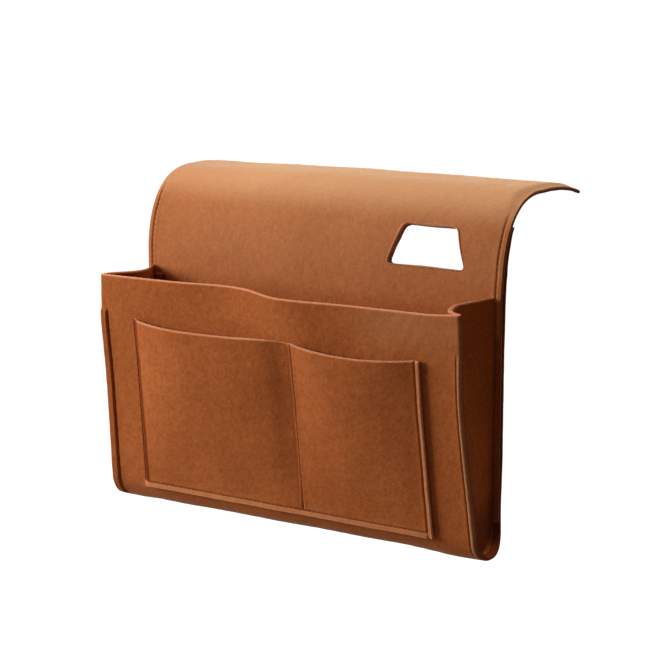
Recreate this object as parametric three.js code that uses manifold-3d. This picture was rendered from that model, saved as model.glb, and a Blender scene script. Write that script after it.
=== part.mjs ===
// Bedside caddy of thick felt, hung by a flap that reaches in over the bed.
// Millimetres, +Z up, the front faces -Y. The origin lies on the underside of the flap.
//
// The section is drawn first in a plane of its own: y runs to the back from the front face of the
// back panel, z runs up from the crest of the flap. The last lines move it to the origin.

import * as THREE from 'three';
import { mergeVertices } from 'three/addons/utils/BufferGeometryUtils.js';
import Module from 'manifold-3d';

const wasm = await Module();
wasm.setup();

// Felt, thread and seats
const feltThickness = 3;
const seatGap = 0.3;
const threadDiameter = 0.8;
const grooveDepth = 1.3;
const grooveMouthWidth = 2.8;
const grooveFloorWidth = 1.4;
const cutOverrun = 5;

// Back, bend and flap
const caddyWidth = 352;
const bendDepth = 62;
const bendHeight = 75;
const bendFullness = 2.3;
const bendSplitShare = 0.47;
const flapFlatLength = 18;
const flapDroopRadius = 165;
const flapReach = 133;
const backSeamInset = 4;

// Main pocket
const rimDrop = 83;
const rimDepth = 66.5;
const turnDrop = 264;
const turnRadius = 25;
const mouthHingeAngle = THREE.MathUtils.degToRad(30);
const cornerSeamInset = 4.5;
const cornerSeamDrop = 35;
const seamEndClearance = 4;

// The front panel is wider at its foot than at its rim
const leftFootFlare = 9.5;
const rightFootFlare = 3.5;
const footFlareFullness = 5;
const flareEndAngle = THREE.MathUtils.degToRad(130);

// Bow of the front panel at its rim, outwards right of the middle and inwards left of it
const frontBowOut = 5;
const frontBowOutCentre = 19;
const frontBowIn = 6;
const frontBowInCentre = -50;
const frontBowSpread = 40;
const frontBowFullness = 4;
const frontBowEdgeClearance = 14;
const rimStep = 2.3;
const rimStepCentre = -12;
const rimStepSpread = 34;

// Gussets
const gussetInset = 5.5;
const gussetFlangeWidth = 10;
const gussetBow = 9;
const gussetBowHeight = 120;
const gussetBowSkew = 1.8;
const gussetTurnAngle = THREE.MathUtils.degToRad(72);
const gussetHeelDrop = 9;

// Small pocket sewn on the front panel
const pocketWidth = 281.5;
const pocketMiddlePlace = -1;
const pocketFootSpread = 1.3;
const pocketRimHeight = 149.5;
const pocketFootLeftDrop = 2;
const pocketFootRightDrop = 3;
const pocketRimRightDrop = 2.5;
const pocketSeamInset = 3.5;
const pocketDividerPlace = 20;
const leftPocketBulge = 10;
const leftPocketFullness = 0.72;
const rightPocketBulge = 9;
const leftPocketSag = 2.2;
const rightPocketSag = 2.5;

// Opening for a cable through the back
const openingPlace = 105;
const openingTopWidth = 50;
const openingFootWidth = 74;
const openingTopMargin = 5.15;
const openingHeight = 34;
const openingCornerRadius = 5;

// Numbers of steps along the curved stretches
const bendSteps = 16;
const droopSteps = 5;
const turnSteps = 9;
const hingeSteps = 3;
const frontSteps = 7;
const rimSteps = 3;
const pocketSteps = 9;
const acrossSteps = 20;
const gussetWallSteps = 9;
const gussetRowSteps = 8;
const gussetHeelSteps = 4;
const cornerArcSteps = 4;

// Places that follow from the sizes
const halfWidth = caddyWidth / 2;
const rearSheetDepth = feltThickness + seatGap;
const rearFaceDepth = rearSheetDepth + feltThickness;
const turnCentre = { y: rearFaceDepth - turnRadius, z: -turnDrop };
const rimPoint = { y: -rimDepth, z: -rimDrop };
const rimFromCentre = { y: rimPoint.y - turnCentre.y, z: rimPoint.z - turnCentre.z };
const rimDistance = Math.hypot(rimFromCentre.y, rimFromCentre.z);
const tangentAngle = Math.atan2(rimFromCentre.z, rimFromCentre.y) + Math.acos(turnRadius / rimDistance);
const frontNormal = { y: Math.cos(tangentAngle), z: Math.sin(tangentAngle) };
const frontFoot = {
  y: turnCentre.y + turnRadius * frontNormal.y,
  z: turnCentre.z + turnRadius * frontNormal.z,
};
const frontLength = Math.hypot(rimPoint.y - frontFoot.y, rimPoint.z - frontFoot.z);
const frontRise = {
  y: (rimPoint.y - frontFoot.y) / frontLength,
  z: (rimPoint.z - frontFoot.z) / frontLength,
};
const cornerSeamPlace = halfWidth - cornerSeamInset;
const backSeamPlace = halfWidth - backSeamInset;
const gussetFace = halfWidth - gussetInset;
const openingTop = bendStation(bendSplitShare).z - openingTopMargin;
const openingFoot = openingTop - openingHeight;

// A station of the section: a point of a sheet's outer face and the way this face looks
function station(y, z, ny, nz) {
  return { y, z, ny, nz };
}

// The point under a station, at a depth below the outer face
function below(place, depth) {
  return { y: place.y - place.ny * depth, z: place.z - place.nz * depth };
}

// The upright stretch of the back, from one drop below the crest to a smaller one
function uprightStations(lowDrop, highDrop) {
  return [station(0, -lowDrop, -1, 0), station(0, -highDrop, -1, 0)];
}

// The bend is a quarter of a superellipse: share 0 is upright and share 1 is level
function bendStation(share) {
  const angle = share * Math.PI / 2;
  const run = Math.max(Math.cos(angle), 0);
  const rise = Math.max(Math.sin(angle), 0);
  const y = bendDepth * (1 - run ** (2 / bendFullness));
  const z = -bendHeight * (1 - rise ** (2 / bendFullness));
  const slope = 2 * (bendFullness - 1) / bendFullness;
  const ny = -(run ** slope) / bendDepth;
  const nz = rise ** slope / bendHeight;
  const size = Math.hypot(ny, nz);
  return station(y, z, ny / size, nz / size);
}

function bendStations(fromShare, toShare) {
  const count = Math.max(3, Math.ceil(bendSteps * (toShare - fromShare)));
  return spread(fromShare, toShare, count).map(bendStation);
}

// Even steps between two values, both ends included
function spread(from, to, count) {
  return Array.from({ length: count + 1 }, (_, i) => from + (to - from) * i / count);
}

// Length of the bend along its outer face
function bendLength() {
  const fineSteps = 400;
  const points = spread(0, 1, fineSteps).map(bendStation);
  let length = 0;
  for (let i = 1; i < points.length; i++) {
    length += Math.hypot(points[i].y - points[i - 1].y, points[i].z - points[i - 1].z);
  }
  return length;
}

// The flap is level for a stretch and then droops on an arc
function flapStations() {
  const start = bendDepth + seatGap;
  const droopStart = bendDepth + flapFlatLength;
  const droopAngle = Math.asin((flapReach - droopStart) / flapDroopRadius);
  const level = [station(start, 0, 0, 1), station(droopStart, 0, 0, 1)];
  const arc = spread(0, droopAngle, droopSteps).slice(1).map((angle) => {
    const y = droopStart + flapDroopRadius * Math.sin(angle);
    const z = flapDroopRadius * (Math.cos(angle) - 1);
    return station(y, z, Math.sin(angle), Math.cos(angle));
  });
  return [...level, ...arc];
}

// The bottom turn: angle zero is where it meets the front panel, and it grows towards the back
function turnStation(angle) {
  const ny = Math.cos(tangentAngle + angle);
  const nz = Math.sin(tangentAngle + angle);
  return station(turnCentre.y + turnRadius * ny, turnCentre.z + turnRadius * nz, ny, nz);
}

// The front panel, by the distance above the bottom turn, or below it round the turn
function frontStation(height) {
  if (height < 0) {
    return turnStation(-height / turnRadius);
  }
  const y = frontFoot.y + frontRise.y * height;
  const z = frontFoot.z + frontRise.z * height;
  return station(y, z, frontNormal.y, frontNormal.z);
}

function hump(place, centre, width) {
  return Math.exp(-(((place - centre) / width) ** 2));
}

function smoothStep(value) {
  const t = Math.min(Math.max(value, 0), 1);
  return t * t * (3 - 2 * t);
}

// How far a point of the front panel moves outwards for the wider foot
function footFlare(x, height) {
  const flare = x < 0 ? -leftFootFlare : rightFootFlare;
  const across = (Math.abs(x) / halfWidth) ** footFlareFullness;
  return flare * across * smoothStep(1 - height / frontLength);
}

// The same round the bottom turn, where it fades towards the back
function turnFlare(x, angle) {
  const start = mouthHingeAngle;
  return footFlare(x, 0) * smoothStep((flareEndAngle - angle) / (flareEndAngle - start));
}

// How far the front panel stands out from its flat section
function frontBow(x, height) {
  const out = frontBowOut * hump(x, frontBowOutCentre, frontBowSpread);
  const inward = frontBowIn * hump(x, frontBowInCentre, frontBowSpread);
  const edge = smoothStep((halfWidth - frontBowEdgeClearance - Math.abs(x)) / frontBowSpread);
  return (out - inward) * edge * Math.max(height / frontLength, 0) ** frontBowFullness;
}

// The rim lies a little lower on the right, where the panel bows out
function rimFall(x, height) {
  const side = smoothStep((x - rimStepCentre) / rimStepSpread + 1 / 2);
  const edge = smoothStep((halfWidth - Math.abs(x)) / rimStepSpread);
  return rimStep * side * edge * height / frontLength;
}

// A point of the front panel, raised above its outer face or sunk below it
function frontPoint(x, height, raise) {
  const place = frontStation(height - rimFall(x, height));
  const at = below(place, -(frontBow(x, height) + raise));
  return [x + footFlare(x, height), at.y, at.z];
}

// Depth of the stitch grooves at a distance from the nearest seam
function grooveAt(distance) {
  const slope = (grooveMouthWidth - grooveFloorWidth) / 2;
  const share = (grooveMouthWidth / 2 - distance) / slope;
  return grooveDepth * Math.min(Math.max(share, 0), 1);
}

// Stations across a sheet, with four at each seam for the groove
function stationsWithSeams(from, to, seams, count) {
  const offsets = [-grooveMouthWidth, -grooveFloorWidth, grooveFloorWidth, grooveMouthWidth];
  const atSeams = seams.flatMap((seam) => offsets.map((offset) => seam + offset / 2));
  const between = spread(from, to, count).filter((place) => {
    const clear = seams.every((seam) => Math.abs(place - seam) > grooveMouthWidth);
    return clear || place === from || place === to;
  });
  return [...between, ...atSeams].sort((a, b) => a - b);
}

// A closed sheet between an outer and an inner grid of points
function sheetGeometry(rowCount, columnCount, outerPoint, innerPoint) {
  const positions = [];
  for (const pointAt of [outerPoint, innerPoint]) {
    for (let row = 0; row < rowCount; row++) {
      for (let column = 0; column < columnCount; column++) {
        positions.push(...pointAt(row, column));
      }
    }
  }
  const index = [];
  const at = (side, row, column) => (side * rowCount + row) * columnCount + column;
  const face = (a, b, c, d) => index.push(a, b, c, a, c, d);
  for (let row = 0; row < rowCount - 1; row++) {
    for (let column = 0; column < columnCount - 1; column++) {
      face(at(0, row, column), at(0, row, column + 1), at(0, row + 1, column + 1), at(0, row + 1, column));
      face(at(1, row, column), at(1, row + 1, column), at(1, row + 1, column + 1), at(1, row, column + 1));
    }
  }
  const lastRow = rowCount - 1;
  const lastColumn = columnCount - 1;
  for (let column = 0; column < lastColumn; column++) {
    face(at(0, 0, column), at(1, 0, column), at(1, 0, column + 1), at(0, 0, column + 1));
    face(at(0, lastRow, column), at(0, lastRow, column + 1), at(1, lastRow, column + 1), at(1, lastRow, column));
  }
  for (let row = 0; row < lastRow; row++) {
    face(at(0, row, 0), at(0, row + 1, 0), at(1, row + 1, 0), at(1, row, 0));
    face(
      at(0, row, lastColumn),
      at(1, row, lastColumn),
      at(1, row + 1, lastColumn),
      at(0, row + 1, lastColumn),
    );
  }
  if (signedVolume(positions, index) < 0) {
    index.reverse();
  }
  const geometry = new THREE.BufferGeometry();
  geometry.setAttribute('position', new THREE.Float32BufferAttribute(positions, 3));
  geometry.setIndex(index);
  return geometry;
}

// Six times the volume inside a closed mesh, positive where its faces look out
function signedVolume(positions, index) {
  const point = (i) => new THREE.Vector3(positions[3 * i], positions[3 * i + 1], positions[3 * i + 2]);
  let volume = 0;
  for (let i = 0; i < index.length; i += 3) {
    volume += point(index[i]).dot(point(index[i + 1]).cross(point(index[i + 2])));
  }
  return volume;
}

// A sheet that follows stations of the section, straight across
function straightSheet(stations, columns, outerDepth, innerDepth, grooveDepthAt) {
  const outer = (row, column) => {
    const at = below(stations[row], outerDepth + grooveDepthAt(columns[column], row));
    return [columns[column], at.y, at.z];
  };
  const inner = (row, column) => {
    const at = below(stations[row], innerDepth);
    return [columns[column], at.y, at.z];
  };
  return sheetGeometry(stations.length, columns.length, outer, inner);
}

function noGroove() {
  return 0;
}

// Solids for cutting
function solidOf(geometry) {
  const bare = geometry.clone();
  bare.deleteAttribute('normal');
  bare.deleteAttribute('uv');
  const merged = mergeVertices(bare);
  const triVerts = new Uint32Array(merged.index.array);
  const vertProperties = new Float32Array(merged.attributes.position.array);
  return new wasm.Manifold(new wasm.Mesh({ numProp: 3, vertProperties, triVerts }));
}

function geometryOf(solid) {
  const mesh = solid.getMesh();
  const geometry = new THREE.BufferGeometry();
  geometry.setAttribute('position', new THREE.BufferAttribute(mesh.vertProperties, 3));
  geometry.setIndex(new THREE.BufferAttribute(mesh.triVerts, 1));
  return geometry;
}

// The opening's outline, narrower at its top, with round corners
function openingOutline() {
  const halfTop = openingTopWidth / 2;
  const halfFoot = openingFootWidth / 2;
  const corners = [
    new THREE.Vector2(openingPlace - halfFoot, openingFoot),
    new THREE.Vector2(openingPlace + halfFoot, openingFoot),
    new THREE.Vector2(openingPlace + halfTop, openingTop),
    new THREE.Vector2(openingPlace - halfTop, openingTop),
  ];
  const shape = new THREE.Shape();
  corners.forEach((corner, i) => {
    const before = corners[(i + corners.length - 1) % corners.length];
    const after = corners[(i + 1) % corners.length];
    const start = corner.clone().sub(before).setLength(-openingCornerRadius).add(corner);
    const end = after.clone().sub(corner).setLength(openingCornerRadius).add(corner);
    if (i === 0) {
      shape.moveTo(start.x, start.y);
    } else {
      shape.lineTo(start.x, start.y);
    }
    shape.quadraticCurveTo(corner.x, corner.y, end.x, end.y);
  });
  shape.closePath();
  return shape;
}

// A prism through both sheets of the back
function openingCutter() {
  const length = bendDepth + 2 * cutOverrun;
  const options = { depth: length, bevelEnabled: false, curveSegments: cornerArcSteps };
  const geometry = new THREE.ExtrudeGeometry(openingOutline(), options);
  geometry.rotateX(Math.PI / 2);
  geometry.translate(0, length - cutOverrun, 0);
  return solidOf(geometry);
}

function withOpening(geometry) {
  return geometryOf(solidOf(geometry).subtract(openingCutter()));
}

// The part of the bend that one seat gap takes
const bendGapShare = seatGap / bendLength();

// Inner sheet of the back, from the bottom turn up into the bend
function backPanelGeometry() {
  const bend = bendStations(0, bendSplitShare);
  const stations = [uprightStations(turnDrop, bendHeight)[0], ...bend];
  const seams = [-backSeamPlace, backSeamPlace];
  const columns = stationsWithSeams(-halfWidth, halfWidth, seams, 2);
  const groove = (x) => Math.max(...seams.map((seam) => grooveAt(Math.abs(x - seam))));
  return withOpening(straightSheet(stations, columns, 0, feltThickness, groove));
}

// The stretch of the same sheet that bends when the flap folds
function flapBendGeometry() {
  const stations = bendStations(bendSplitShare + bendGapShare, 1);
  return straightSheet(stations, [-halfWidth, halfWidth], 0, feltThickness, noGroove);
}

function flapPanelGeometry() {
  return straightSheet(flapStations(), [-halfWidth, halfWidth], 0, feltThickness, noGroove);
}

// Outer sheet of the back, which goes on round the bottom
function rearPanelGeometry() {
  const stop = Math.PI * 2 - tangentAngle;
  const hingeGap = seatGap / (turnRadius - feltThickness);
  const bend = bendStations(0, bendSplitShare).reverse();
  const upper = [...bend, uprightStations(turnDrop, bendHeight)[0]];
  const angles = spread(stop, mouthHingeAngle + hingeGap, turnSteps).slice(1);
  const columns = [-halfWidth, halfWidth];
  const pointAt = (row, column, isOuter) => {
    const x = columns[column];
    if (row < upper.length) {
      const at = below(upper[row], isOuter ? rearFaceDepth : rearSheetDepth);
      return [x, at.y, at.z];
    }
    const angle = angles[row - upper.length];
    const at = below(turnStation(angle), isOuter ? 0 : feltThickness);
    return [x + turnFlare(x, angle), at.y, at.z];
  };
  return withOpening(sheetGeometry(
    upper.length + angles.length,
    columns.length,
    (row, column) => pointAt(row, column, true),
    (row, column) => pointAt(row, column, false),
  ));
}

// Rows of the front panel: angles round the bottom turn, then heights above it
function frontRows() {
  const seamTop = frontLength - cornerSeamDrop;
  const lower = spread(0, seamTop, frontSteps);
  const upper = spread(seamTop, frontLength, rimSteps).slice(1);
  return { angles: spread(mouthHingeAngle, 0, hingeSteps).slice(0, -1), heights: [...lower, ...upper] };
}

// The panel has the pocket's columns as well, so the two sheets lie evenly on each other
function frontColumns() {
  const seams = [-cornerSeamPlace, cornerSeamPlace];
  const own = stationsWithSeams(-halfWidth, halfWidth, seams, acrossSteps);
  const outside = own.filter((x) => Math.abs(x) > pocketEdge);
  return [...outside, ...pocketColumns()].sort((a, b) => a - b);
}

// Front of the main pocket, from the bottom turn up to the rim
function frontPanelGeometry() {
  const columns = frontColumns();
  const { angles, heights } = frontRows();
  const seamTop = frontLength - cornerSeamDrop;
  const cornerGroove = (x) => grooveAt(Math.abs(Math.abs(x) - cornerSeamPlace));
  const pointAt = (row, column, isOuter) => {
    const x = columns[column];
    const height = heights[row - angles.length];
    const sewn = row < angles.length || height <= seamTop;
    const groove = isOuter && sewn ? cornerGroove(x) : 0;
    const depth = isOuter ? groove : feltThickness;
    if (row < angles.length) {
      const at = below(turnStation(angles[row]), depth);
      return [x + footFlare(x, 0), at.y, at.z];
    }
    return frontPoint(x, height, -depth);
  };
  return sheetGeometry(
    angles.length + heights.length,
    columns.length,
    (row, column) => pointAt(row, column, true),
    (row, column) => pointAt(row, column, false),
  );
}

// Edges and seams of the small pocket
const pocketEdge = pocketWidth / 2;
const pocketSideSeam = pocketEdge - pocketSeamInset;
const pocketFootSeam = pocketSeamInset;

// The pocket is sewn on a little askew, so its foot and its rim are lower on the right
function pocketDrop(x, height) {
  const share = (x + pocketEdge) / pocketWidth;
  const foot = pocketFootLeftDrop + (pocketFootRightDrop - pocketFootLeftDrop) * share;
  const rim = pocketRimRightDrop * share;
  return foot + (rim - foot) * height / pocketRimHeight;
}

// The pocket is a little wider at its foot, and its middle lies left of the caddy's
function pocketAcross(x, height) {
  const wider = 1 + pocketFootSpread / pocketEdge * (1 - height / pocketRimHeight);
  return x * wider + pocketMiddlePlace;
}

// The crown of one compartment: none at its seams' grooves and whole in the middle
function compartment(x) {
  const left = x < pocketDividerPlace;
  const from = (left ? -pocketSideSeam : pocketDividerPlace) + grooveMouthWidth / 2;
  const to = (left ? pocketDividerPlace : pocketSideSeam) - grooveMouthWidth / 2;
  const even = Math.min(Math.max((x - from) / (to - from), 0), 1);
  const share = left ? even ** leftPocketFullness : even;
  return {
    crown: 4 * share * (1 - share),
    bulge: left ? leftPocketBulge : rightPocketBulge,
    sag: left ? leftPocketSag : rightPocketSag,
  };
}

// How far the small pocket stands off the front panel
function pocketBulge(x, height) {
  const { crown, bulge } = compartment(x);
  const up = Math.max((height - pocketFootSeam) / (pocketRimHeight - pocketFootSeam), 0);
  return bulge * crown * Math.sin(Math.PI / 2 * up);
}

// The pocket's rim sags in the middle of each compartment
function pocketPoint(x, height, raise) {
  const { crown, sag } = compartment(x);
  const lowered = height - pocketDrop(x, height) - sag * crown * (height / pocketRimHeight) ** 2;
  return frontPoint(pocketAcross(x, height), lowered, seatGap + pocketBulge(x, height) + raise);
}

const pocketUprightSeams = [-pocketSideSeam, pocketDividerPlace, pocketSideSeam];

function pocketColumns() {
  return stationsWithSeams(-pocketEdge, pocketEdge, pocketUprightSeams, acrossSteps);
}

function pocketRows() {
  return stationsWithSeams(0, pocketRimHeight, [pocketFootSeam], pocketSteps);
}

// One sheet with a divider seam, so it makes two pockets side by side
function frontPocketGeometry() {
  const seams = pocketUprightSeams;
  const columns = pocketColumns();
  const rows = pocketRows();
  const groove = (x, height) => {
    const side = Math.max(...seams.map((seam) => grooveAt(Math.abs(x - seam))));
    const inside = Math.abs(x) <= pocketSideSeam && height >= pocketFootSeam;
    const sideHere = inside || height >= pocketFootSeam ? side : 0;
    const foot = Math.abs(x) <= pocketSideSeam + grooveMouthWidth / 2;
    const footHere = foot ? grooveAt(Math.abs(height - pocketFootSeam)) : 0;
    return Math.max(sideHere, footHere);
  };
  const outer = (row, column) => {
    const x = columns[column];
    return pocketPoint(x, rows[row], feltThickness - groove(x, rows[row]));
  };
  const inner = (row, column) => pocketPoint(columns[column], rows[row], 0);
  return sheetGeometry(rows.length, columns.length, outer, inner);
}

// Rows of a gusset: a point on the front sheet, the flare there, and a height on the back panel
function gussetRows(side) {
  const x = side * halfWidth;
  const heelDrop = turnDrop + gussetHeelDrop;
  const front = spread(frontLength, 0, gussetRowSteps).map((height, i) => ({
    place: frontStation(height),
    flare: side * footFlare(x, height),
    back: -(rimDrop + (turnDrop - rimDrop) * i / gussetRowSteps),
  }));
  const turn = spread(0, gussetTurnAngle, gussetHeelSteps).slice(1).map((angle, i) => ({
    place: turnStation(angle),
    flare: side * turnFlare(x, angle),
    back: -(turnDrop + (heelDrop - turnDrop) * (i + 1) / gussetHeelSteps),
  }));
  return [...front, ...turn];
}

// How far the wall of a gusset is drawn in
function gussetDraw(share, z) {
  const fade = smoothStep(1 - (-rimDrop - z) / gussetBowHeight);
  return gussetBow * Math.sin(Math.PI * share ** gussetBowSkew) * fade;
}

// A gusset: a flange behind the front panel's edge, the wall, and a flange inside on the back panel
function gussetGeometry(side) {
  const rows = gussetRows(side);
  const wallShares = spread(0, 1, gussetWallSteps);
  const flangeEnd = gussetFace - feltThickness - gussetFlangeWidth;
  const profile = (row, isOuter) => {
    const { place, flare, back } = rows[row];
    const depth = feltThickness + seatGap + (isOuter ? feltThickness : 0);
    const front = below(place, depth);
    const wallX = isOuter ? gussetFace : gussetFace - feltThickness;
    const rearY = isOuter ? -seatGap : -(seatGap + feltThickness);
    const wall = wallShares.map((share) => {
      const y = front.y + (rearY - front.y) * share;
      const z = front.z + (back - front.z) * share;
      return [wallX + flare * (1 - share) - gussetDraw(1 - share, z), y, z];
    });
    return [[halfWidth + flare, front.y, front.z], ...wall, [flangeEnd, rearY, back]];
  };
  const pointAt = (row, column, isOuter) => {
    const [x, y, z] = profile(row, isOuter)[column];
    return [side * x, y, z];
  };
  return sheetGeometry(
    rows.length,
    wallShares.length + 2,
    (row, column) => pointAt(row, column, true),
    (row, column) => pointAt(row, column, false),
  );
}

// How deep the two faces of a thread lie under the face of the sheet that it is sunk in
const threadFloor = grooveDepth - seatGap;
const threadTop = threadFloor - threadDiameter;

// A sewn thread: a narrow strip that follows the rows of the sheet that it is sunk in
function threadGeometry(count, pointAt) {
  const sides = [-threadDiameter / 2, threadDiameter / 2];
  return sheetGeometry(
    count,
    sides.length,
    (row, column) => pointAt(row, sides[column], threadTop),
    (row, column) => pointAt(row, sides[column], threadFloor),
  );
}

// Seam that joins the two sheets of the back near their side edge
function backSeamGeometry(side) {
  const low = uprightStations(turnDrop - seamEndClearance, bendHeight)[0];
  const topShare = bendSplitShare - seamEndClearance / bendLength();
  const stations = [low, ...bendStations(0, topShare)];
  return threadGeometry(stations.length, (row, across, depth) => {
    const at = below(stations[row], depth);
    return [side * backSeamPlace + across, at.y, at.z];
  });
}

// Seam of a gusset's inner flange, inside the main pocket
function gussetSeamGeometry(side) {
  const x = side * (gussetFace - feltThickness - gussetFlangeWidth / 2);
  const face = seatGap + feltThickness + seatGap;
  const drops = [turnDrop - seamEndClearance, rimDrop + seamEndClearance];
  return threadGeometry(drops.length, (row, across, depth) => {
    const y = -(face + threadFloor - depth);
    return [x + across, y, -drops[row]];
  });
}

// Seam that pinches the front panel to a gusset's flange, from below the rim to the bottom turn
function cornerSeamGeometry(side) {
  const x = side * cornerSeamPlace;
  const { angles, heights } = frontRows();
  const top = frontLength - cornerSeamDrop - seamEndClearance;
  const along = [...heights.filter((height) => height < top), top];
  const count = angles.length - 1 + along.length;
  return threadGeometry(count, (row, across, depth) => {
    if (row < angles.length - 1) {
      const at = below(turnStation(angles[row + 1]), depth);
      return [x + across + footFlare(x, 0), at.y, at.z];
    }
    const [middle, y, z] = frontPoint(x, along[row - angles.length + 1], -depth);
    return [middle + across, y, z];
  });
}

// Upright seams of the small pocket, at an edge or at the divider
function pocketUprightSeamGeometry(x) {
  const top = pocketRimHeight - seamEndClearance;
  const low = pocketFootSeam + grooveMouthWidth;
  const heights = [low, ...pocketRows().filter((height) => height > low && height < top), top];
  return threadGeometry(heights.length, (row, across, depth) => {
    const [middle, y, z] = pocketPoint(x, heights[row], feltThickness - depth);
    return [middle + across, y, z];
  });
}

function pocketFootSeamGeometry() {
  const places = pocketColumns().filter((x) => Math.abs(x) <= pocketSideSeam);
  return threadGeometry(places.length, (row, across, depth) => {
    return pocketPoint(places[row], pocketFootSeam + across, feltThickness - depth);
  });
}

// Finishes
function feltMaterial(colour) {
  return new THREE.MeshStandardMaterial({ color: colour, roughness: 0.95, metalness: 0 });
}

const outerFelt = feltMaterial('#b0663a');
const innerFelt = feltMaterial('#a85f35');
const thread = new THREE.MeshStandardMaterial({ color: '#8a4522', roughness: 0.7, metalness: 0 });

function piece(name, geometry, material) {
  const mesh = new THREE.Mesh(geometry, material);
  mesh.name = name;
  return mesh;
}

const caddy = new THREE.Group();
caddy.add(piece('flap_panel', flapPanelGeometry(), outerFelt));
caddy.add(piece('flap_bend', flapBendGeometry(), outerFelt));
caddy.add(piece('back_panel', backPanelGeometry(), outerFelt));
caddy.add(piece('rear_panel', rearPanelGeometry(), innerFelt));
caddy.add(piece('front_panel', frontPanelGeometry(), outerFelt));
caddy.add(piece('front_pocket', frontPocketGeometry(), outerFelt));
for (const [name, side] of [['left', -1], ['right', 1]]) {
  caddy.add(piece(`${name}_gusset`, gussetGeometry(side), innerFelt));
  caddy.add(piece(`${name}_back_seam`, backSeamGeometry(side), thread));
  caddy.add(piece(`${name}_gusset_seam`, gussetSeamGeometry(side), thread));
  caddy.add(piece(`${name}_corner_seam`, cornerSeamGeometry(side), thread));
  caddy.add(piece(`pocket_${name}_seam`, pocketUprightSeamGeometry(side * pocketSideSeam), thread));
}
caddy.add(piece('pocket_divider_seam', pocketUprightSeamGeometry(pocketDividerPlace), thread));
caddy.add(piece('pocket_foot_seam', pocketFootSeamGeometry(), thread));

// The origin is the middle of the level stretch of the flap, on its underside
caddy.position.set(0, -(bendDepth + flapFlatLength / 2), feltThickness);

const part = new THREE.Group();
part.add(caddy);

export default part;
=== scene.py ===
"""A bedside caddy of thick felt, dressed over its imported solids.

Metres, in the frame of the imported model: X is the caddy's width, the pockets face -Y, Z is up, and
the origin lies on the underside of the flap. The side view of the caddy is drawn in a plane of its
own, with y from the front face of the back panel and z from the crest, and moved to the origin last.
"""

from __future__ import annotations

import logging
import math
from dataclasses import dataclass, field
from enum import Enum
from typing import ClassVar

import bpy
import numpy as np
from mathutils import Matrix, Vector

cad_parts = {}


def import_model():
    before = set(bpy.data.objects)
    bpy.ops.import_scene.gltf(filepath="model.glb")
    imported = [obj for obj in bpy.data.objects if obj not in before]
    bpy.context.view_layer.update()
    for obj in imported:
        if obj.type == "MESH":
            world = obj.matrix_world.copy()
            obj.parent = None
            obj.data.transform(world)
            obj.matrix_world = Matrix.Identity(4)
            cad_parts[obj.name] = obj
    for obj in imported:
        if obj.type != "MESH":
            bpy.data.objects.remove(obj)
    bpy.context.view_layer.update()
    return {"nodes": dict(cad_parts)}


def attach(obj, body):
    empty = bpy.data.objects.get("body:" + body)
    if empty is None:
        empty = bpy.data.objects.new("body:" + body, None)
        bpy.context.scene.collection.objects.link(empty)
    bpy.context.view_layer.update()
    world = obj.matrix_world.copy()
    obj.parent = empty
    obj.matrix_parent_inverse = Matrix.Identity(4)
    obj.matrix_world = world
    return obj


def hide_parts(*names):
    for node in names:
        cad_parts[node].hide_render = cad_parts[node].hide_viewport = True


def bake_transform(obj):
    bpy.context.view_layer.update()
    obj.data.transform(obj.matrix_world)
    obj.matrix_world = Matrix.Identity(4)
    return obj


log = logging.getLogger("caddy")

Array = np.ndarray
Colour = tuple[float, float, float]
Socket = bpy.types.NodeSocket

END_STEPS = np.array([0.0005, 0.0011, 0.0018])
MARK_STEPS = 17
CLOSEST_STATIONS = 1e-4
PATCH_STEP = 0.0016
PATCH_CLEARANCE = 5e-4
SAME_PLACE = 1e-9
STITCH_LIFT = 0.0002
THREAD_NORMAL_STEP = 0.001


class Side(Enum):
    """The two sides of the caddy, as seen from its front."""

    LEFT = -1
    RIGHT = 1

    @property
    def word(self) -> str:
        """The side's name in a piece's name."""
        return self.name.lower()


class Body(Enum):
    """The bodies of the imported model."""

    FLAP = "flap"
    BACK = "pocket_back"
    FRONT = "pocket_front"


class Slot(Enum):
    """The material slots of the record."""

    OUTER = "outer_felt"
    INNER = "inner_felt"
    THREAD = "sewing_thread"


def smooth_step(value: Array) -> Array:
    """Gives 0 below 0, 1 above 1 and the S curve 3t^2 - 2t^3 between."""
    t = np.clip(value, 0.0, 1.0)
    return t * t * (3.0 - 2.0 * t)


def rises(value: Array, start: float, length: float) -> Array:
    """Gives an S curve from 0 at the start to 1 a length further on."""
    return smooth_step((value - start) / length)


def falls(value: Array, end: float, length: float) -> Array:
    """Gives an S curve from 1, a length before the end, to 0 at the end."""
    return smooth_step((end - value) / length)


def hump(place: Array, centre: float, width: float) -> Array:
    """Gives a bell curve, e to the power of minus the square of the distance over the width."""
    return np.exp(-(((place - centre) / width) ** 2))


def lengths(points: Array) -> Array:
    """Gives the distance along a line of points at each point: the sum of the straight steps."""
    return np.concatenate([[0.0], np.cumsum(np.linalg.norm(np.diff(points, axis=0), axis=1))])


def ripple(a: Array, b: Array, wave: float, seed: int) -> Array:
    """Gives a gentle unevenness between about -1 and 1: the sum of six slanting sine waves over three.

    Args:
        a: First coordinate.
        b: Second coordinate.
        wave: Middle wavelength in the coordinates' unit.
        seed: Picks the directions and phases.

    Returns:
        The height at each point.
    """
    source = np.random.default_rng(seed)
    total = np.zeros(np.broadcast(a, b).shape)
    for _ in range(6):
        turn, phase, share = source.uniform(0, (math.pi, 2 * math.pi, 1.0))
        length = wave * (0.7 + 0.8 * share)
        along = a * math.cos(turn) + b * math.sin(turn)
        total = total + np.sin(2 * math.pi * along / length + phase)
    return total / 3.0


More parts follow.
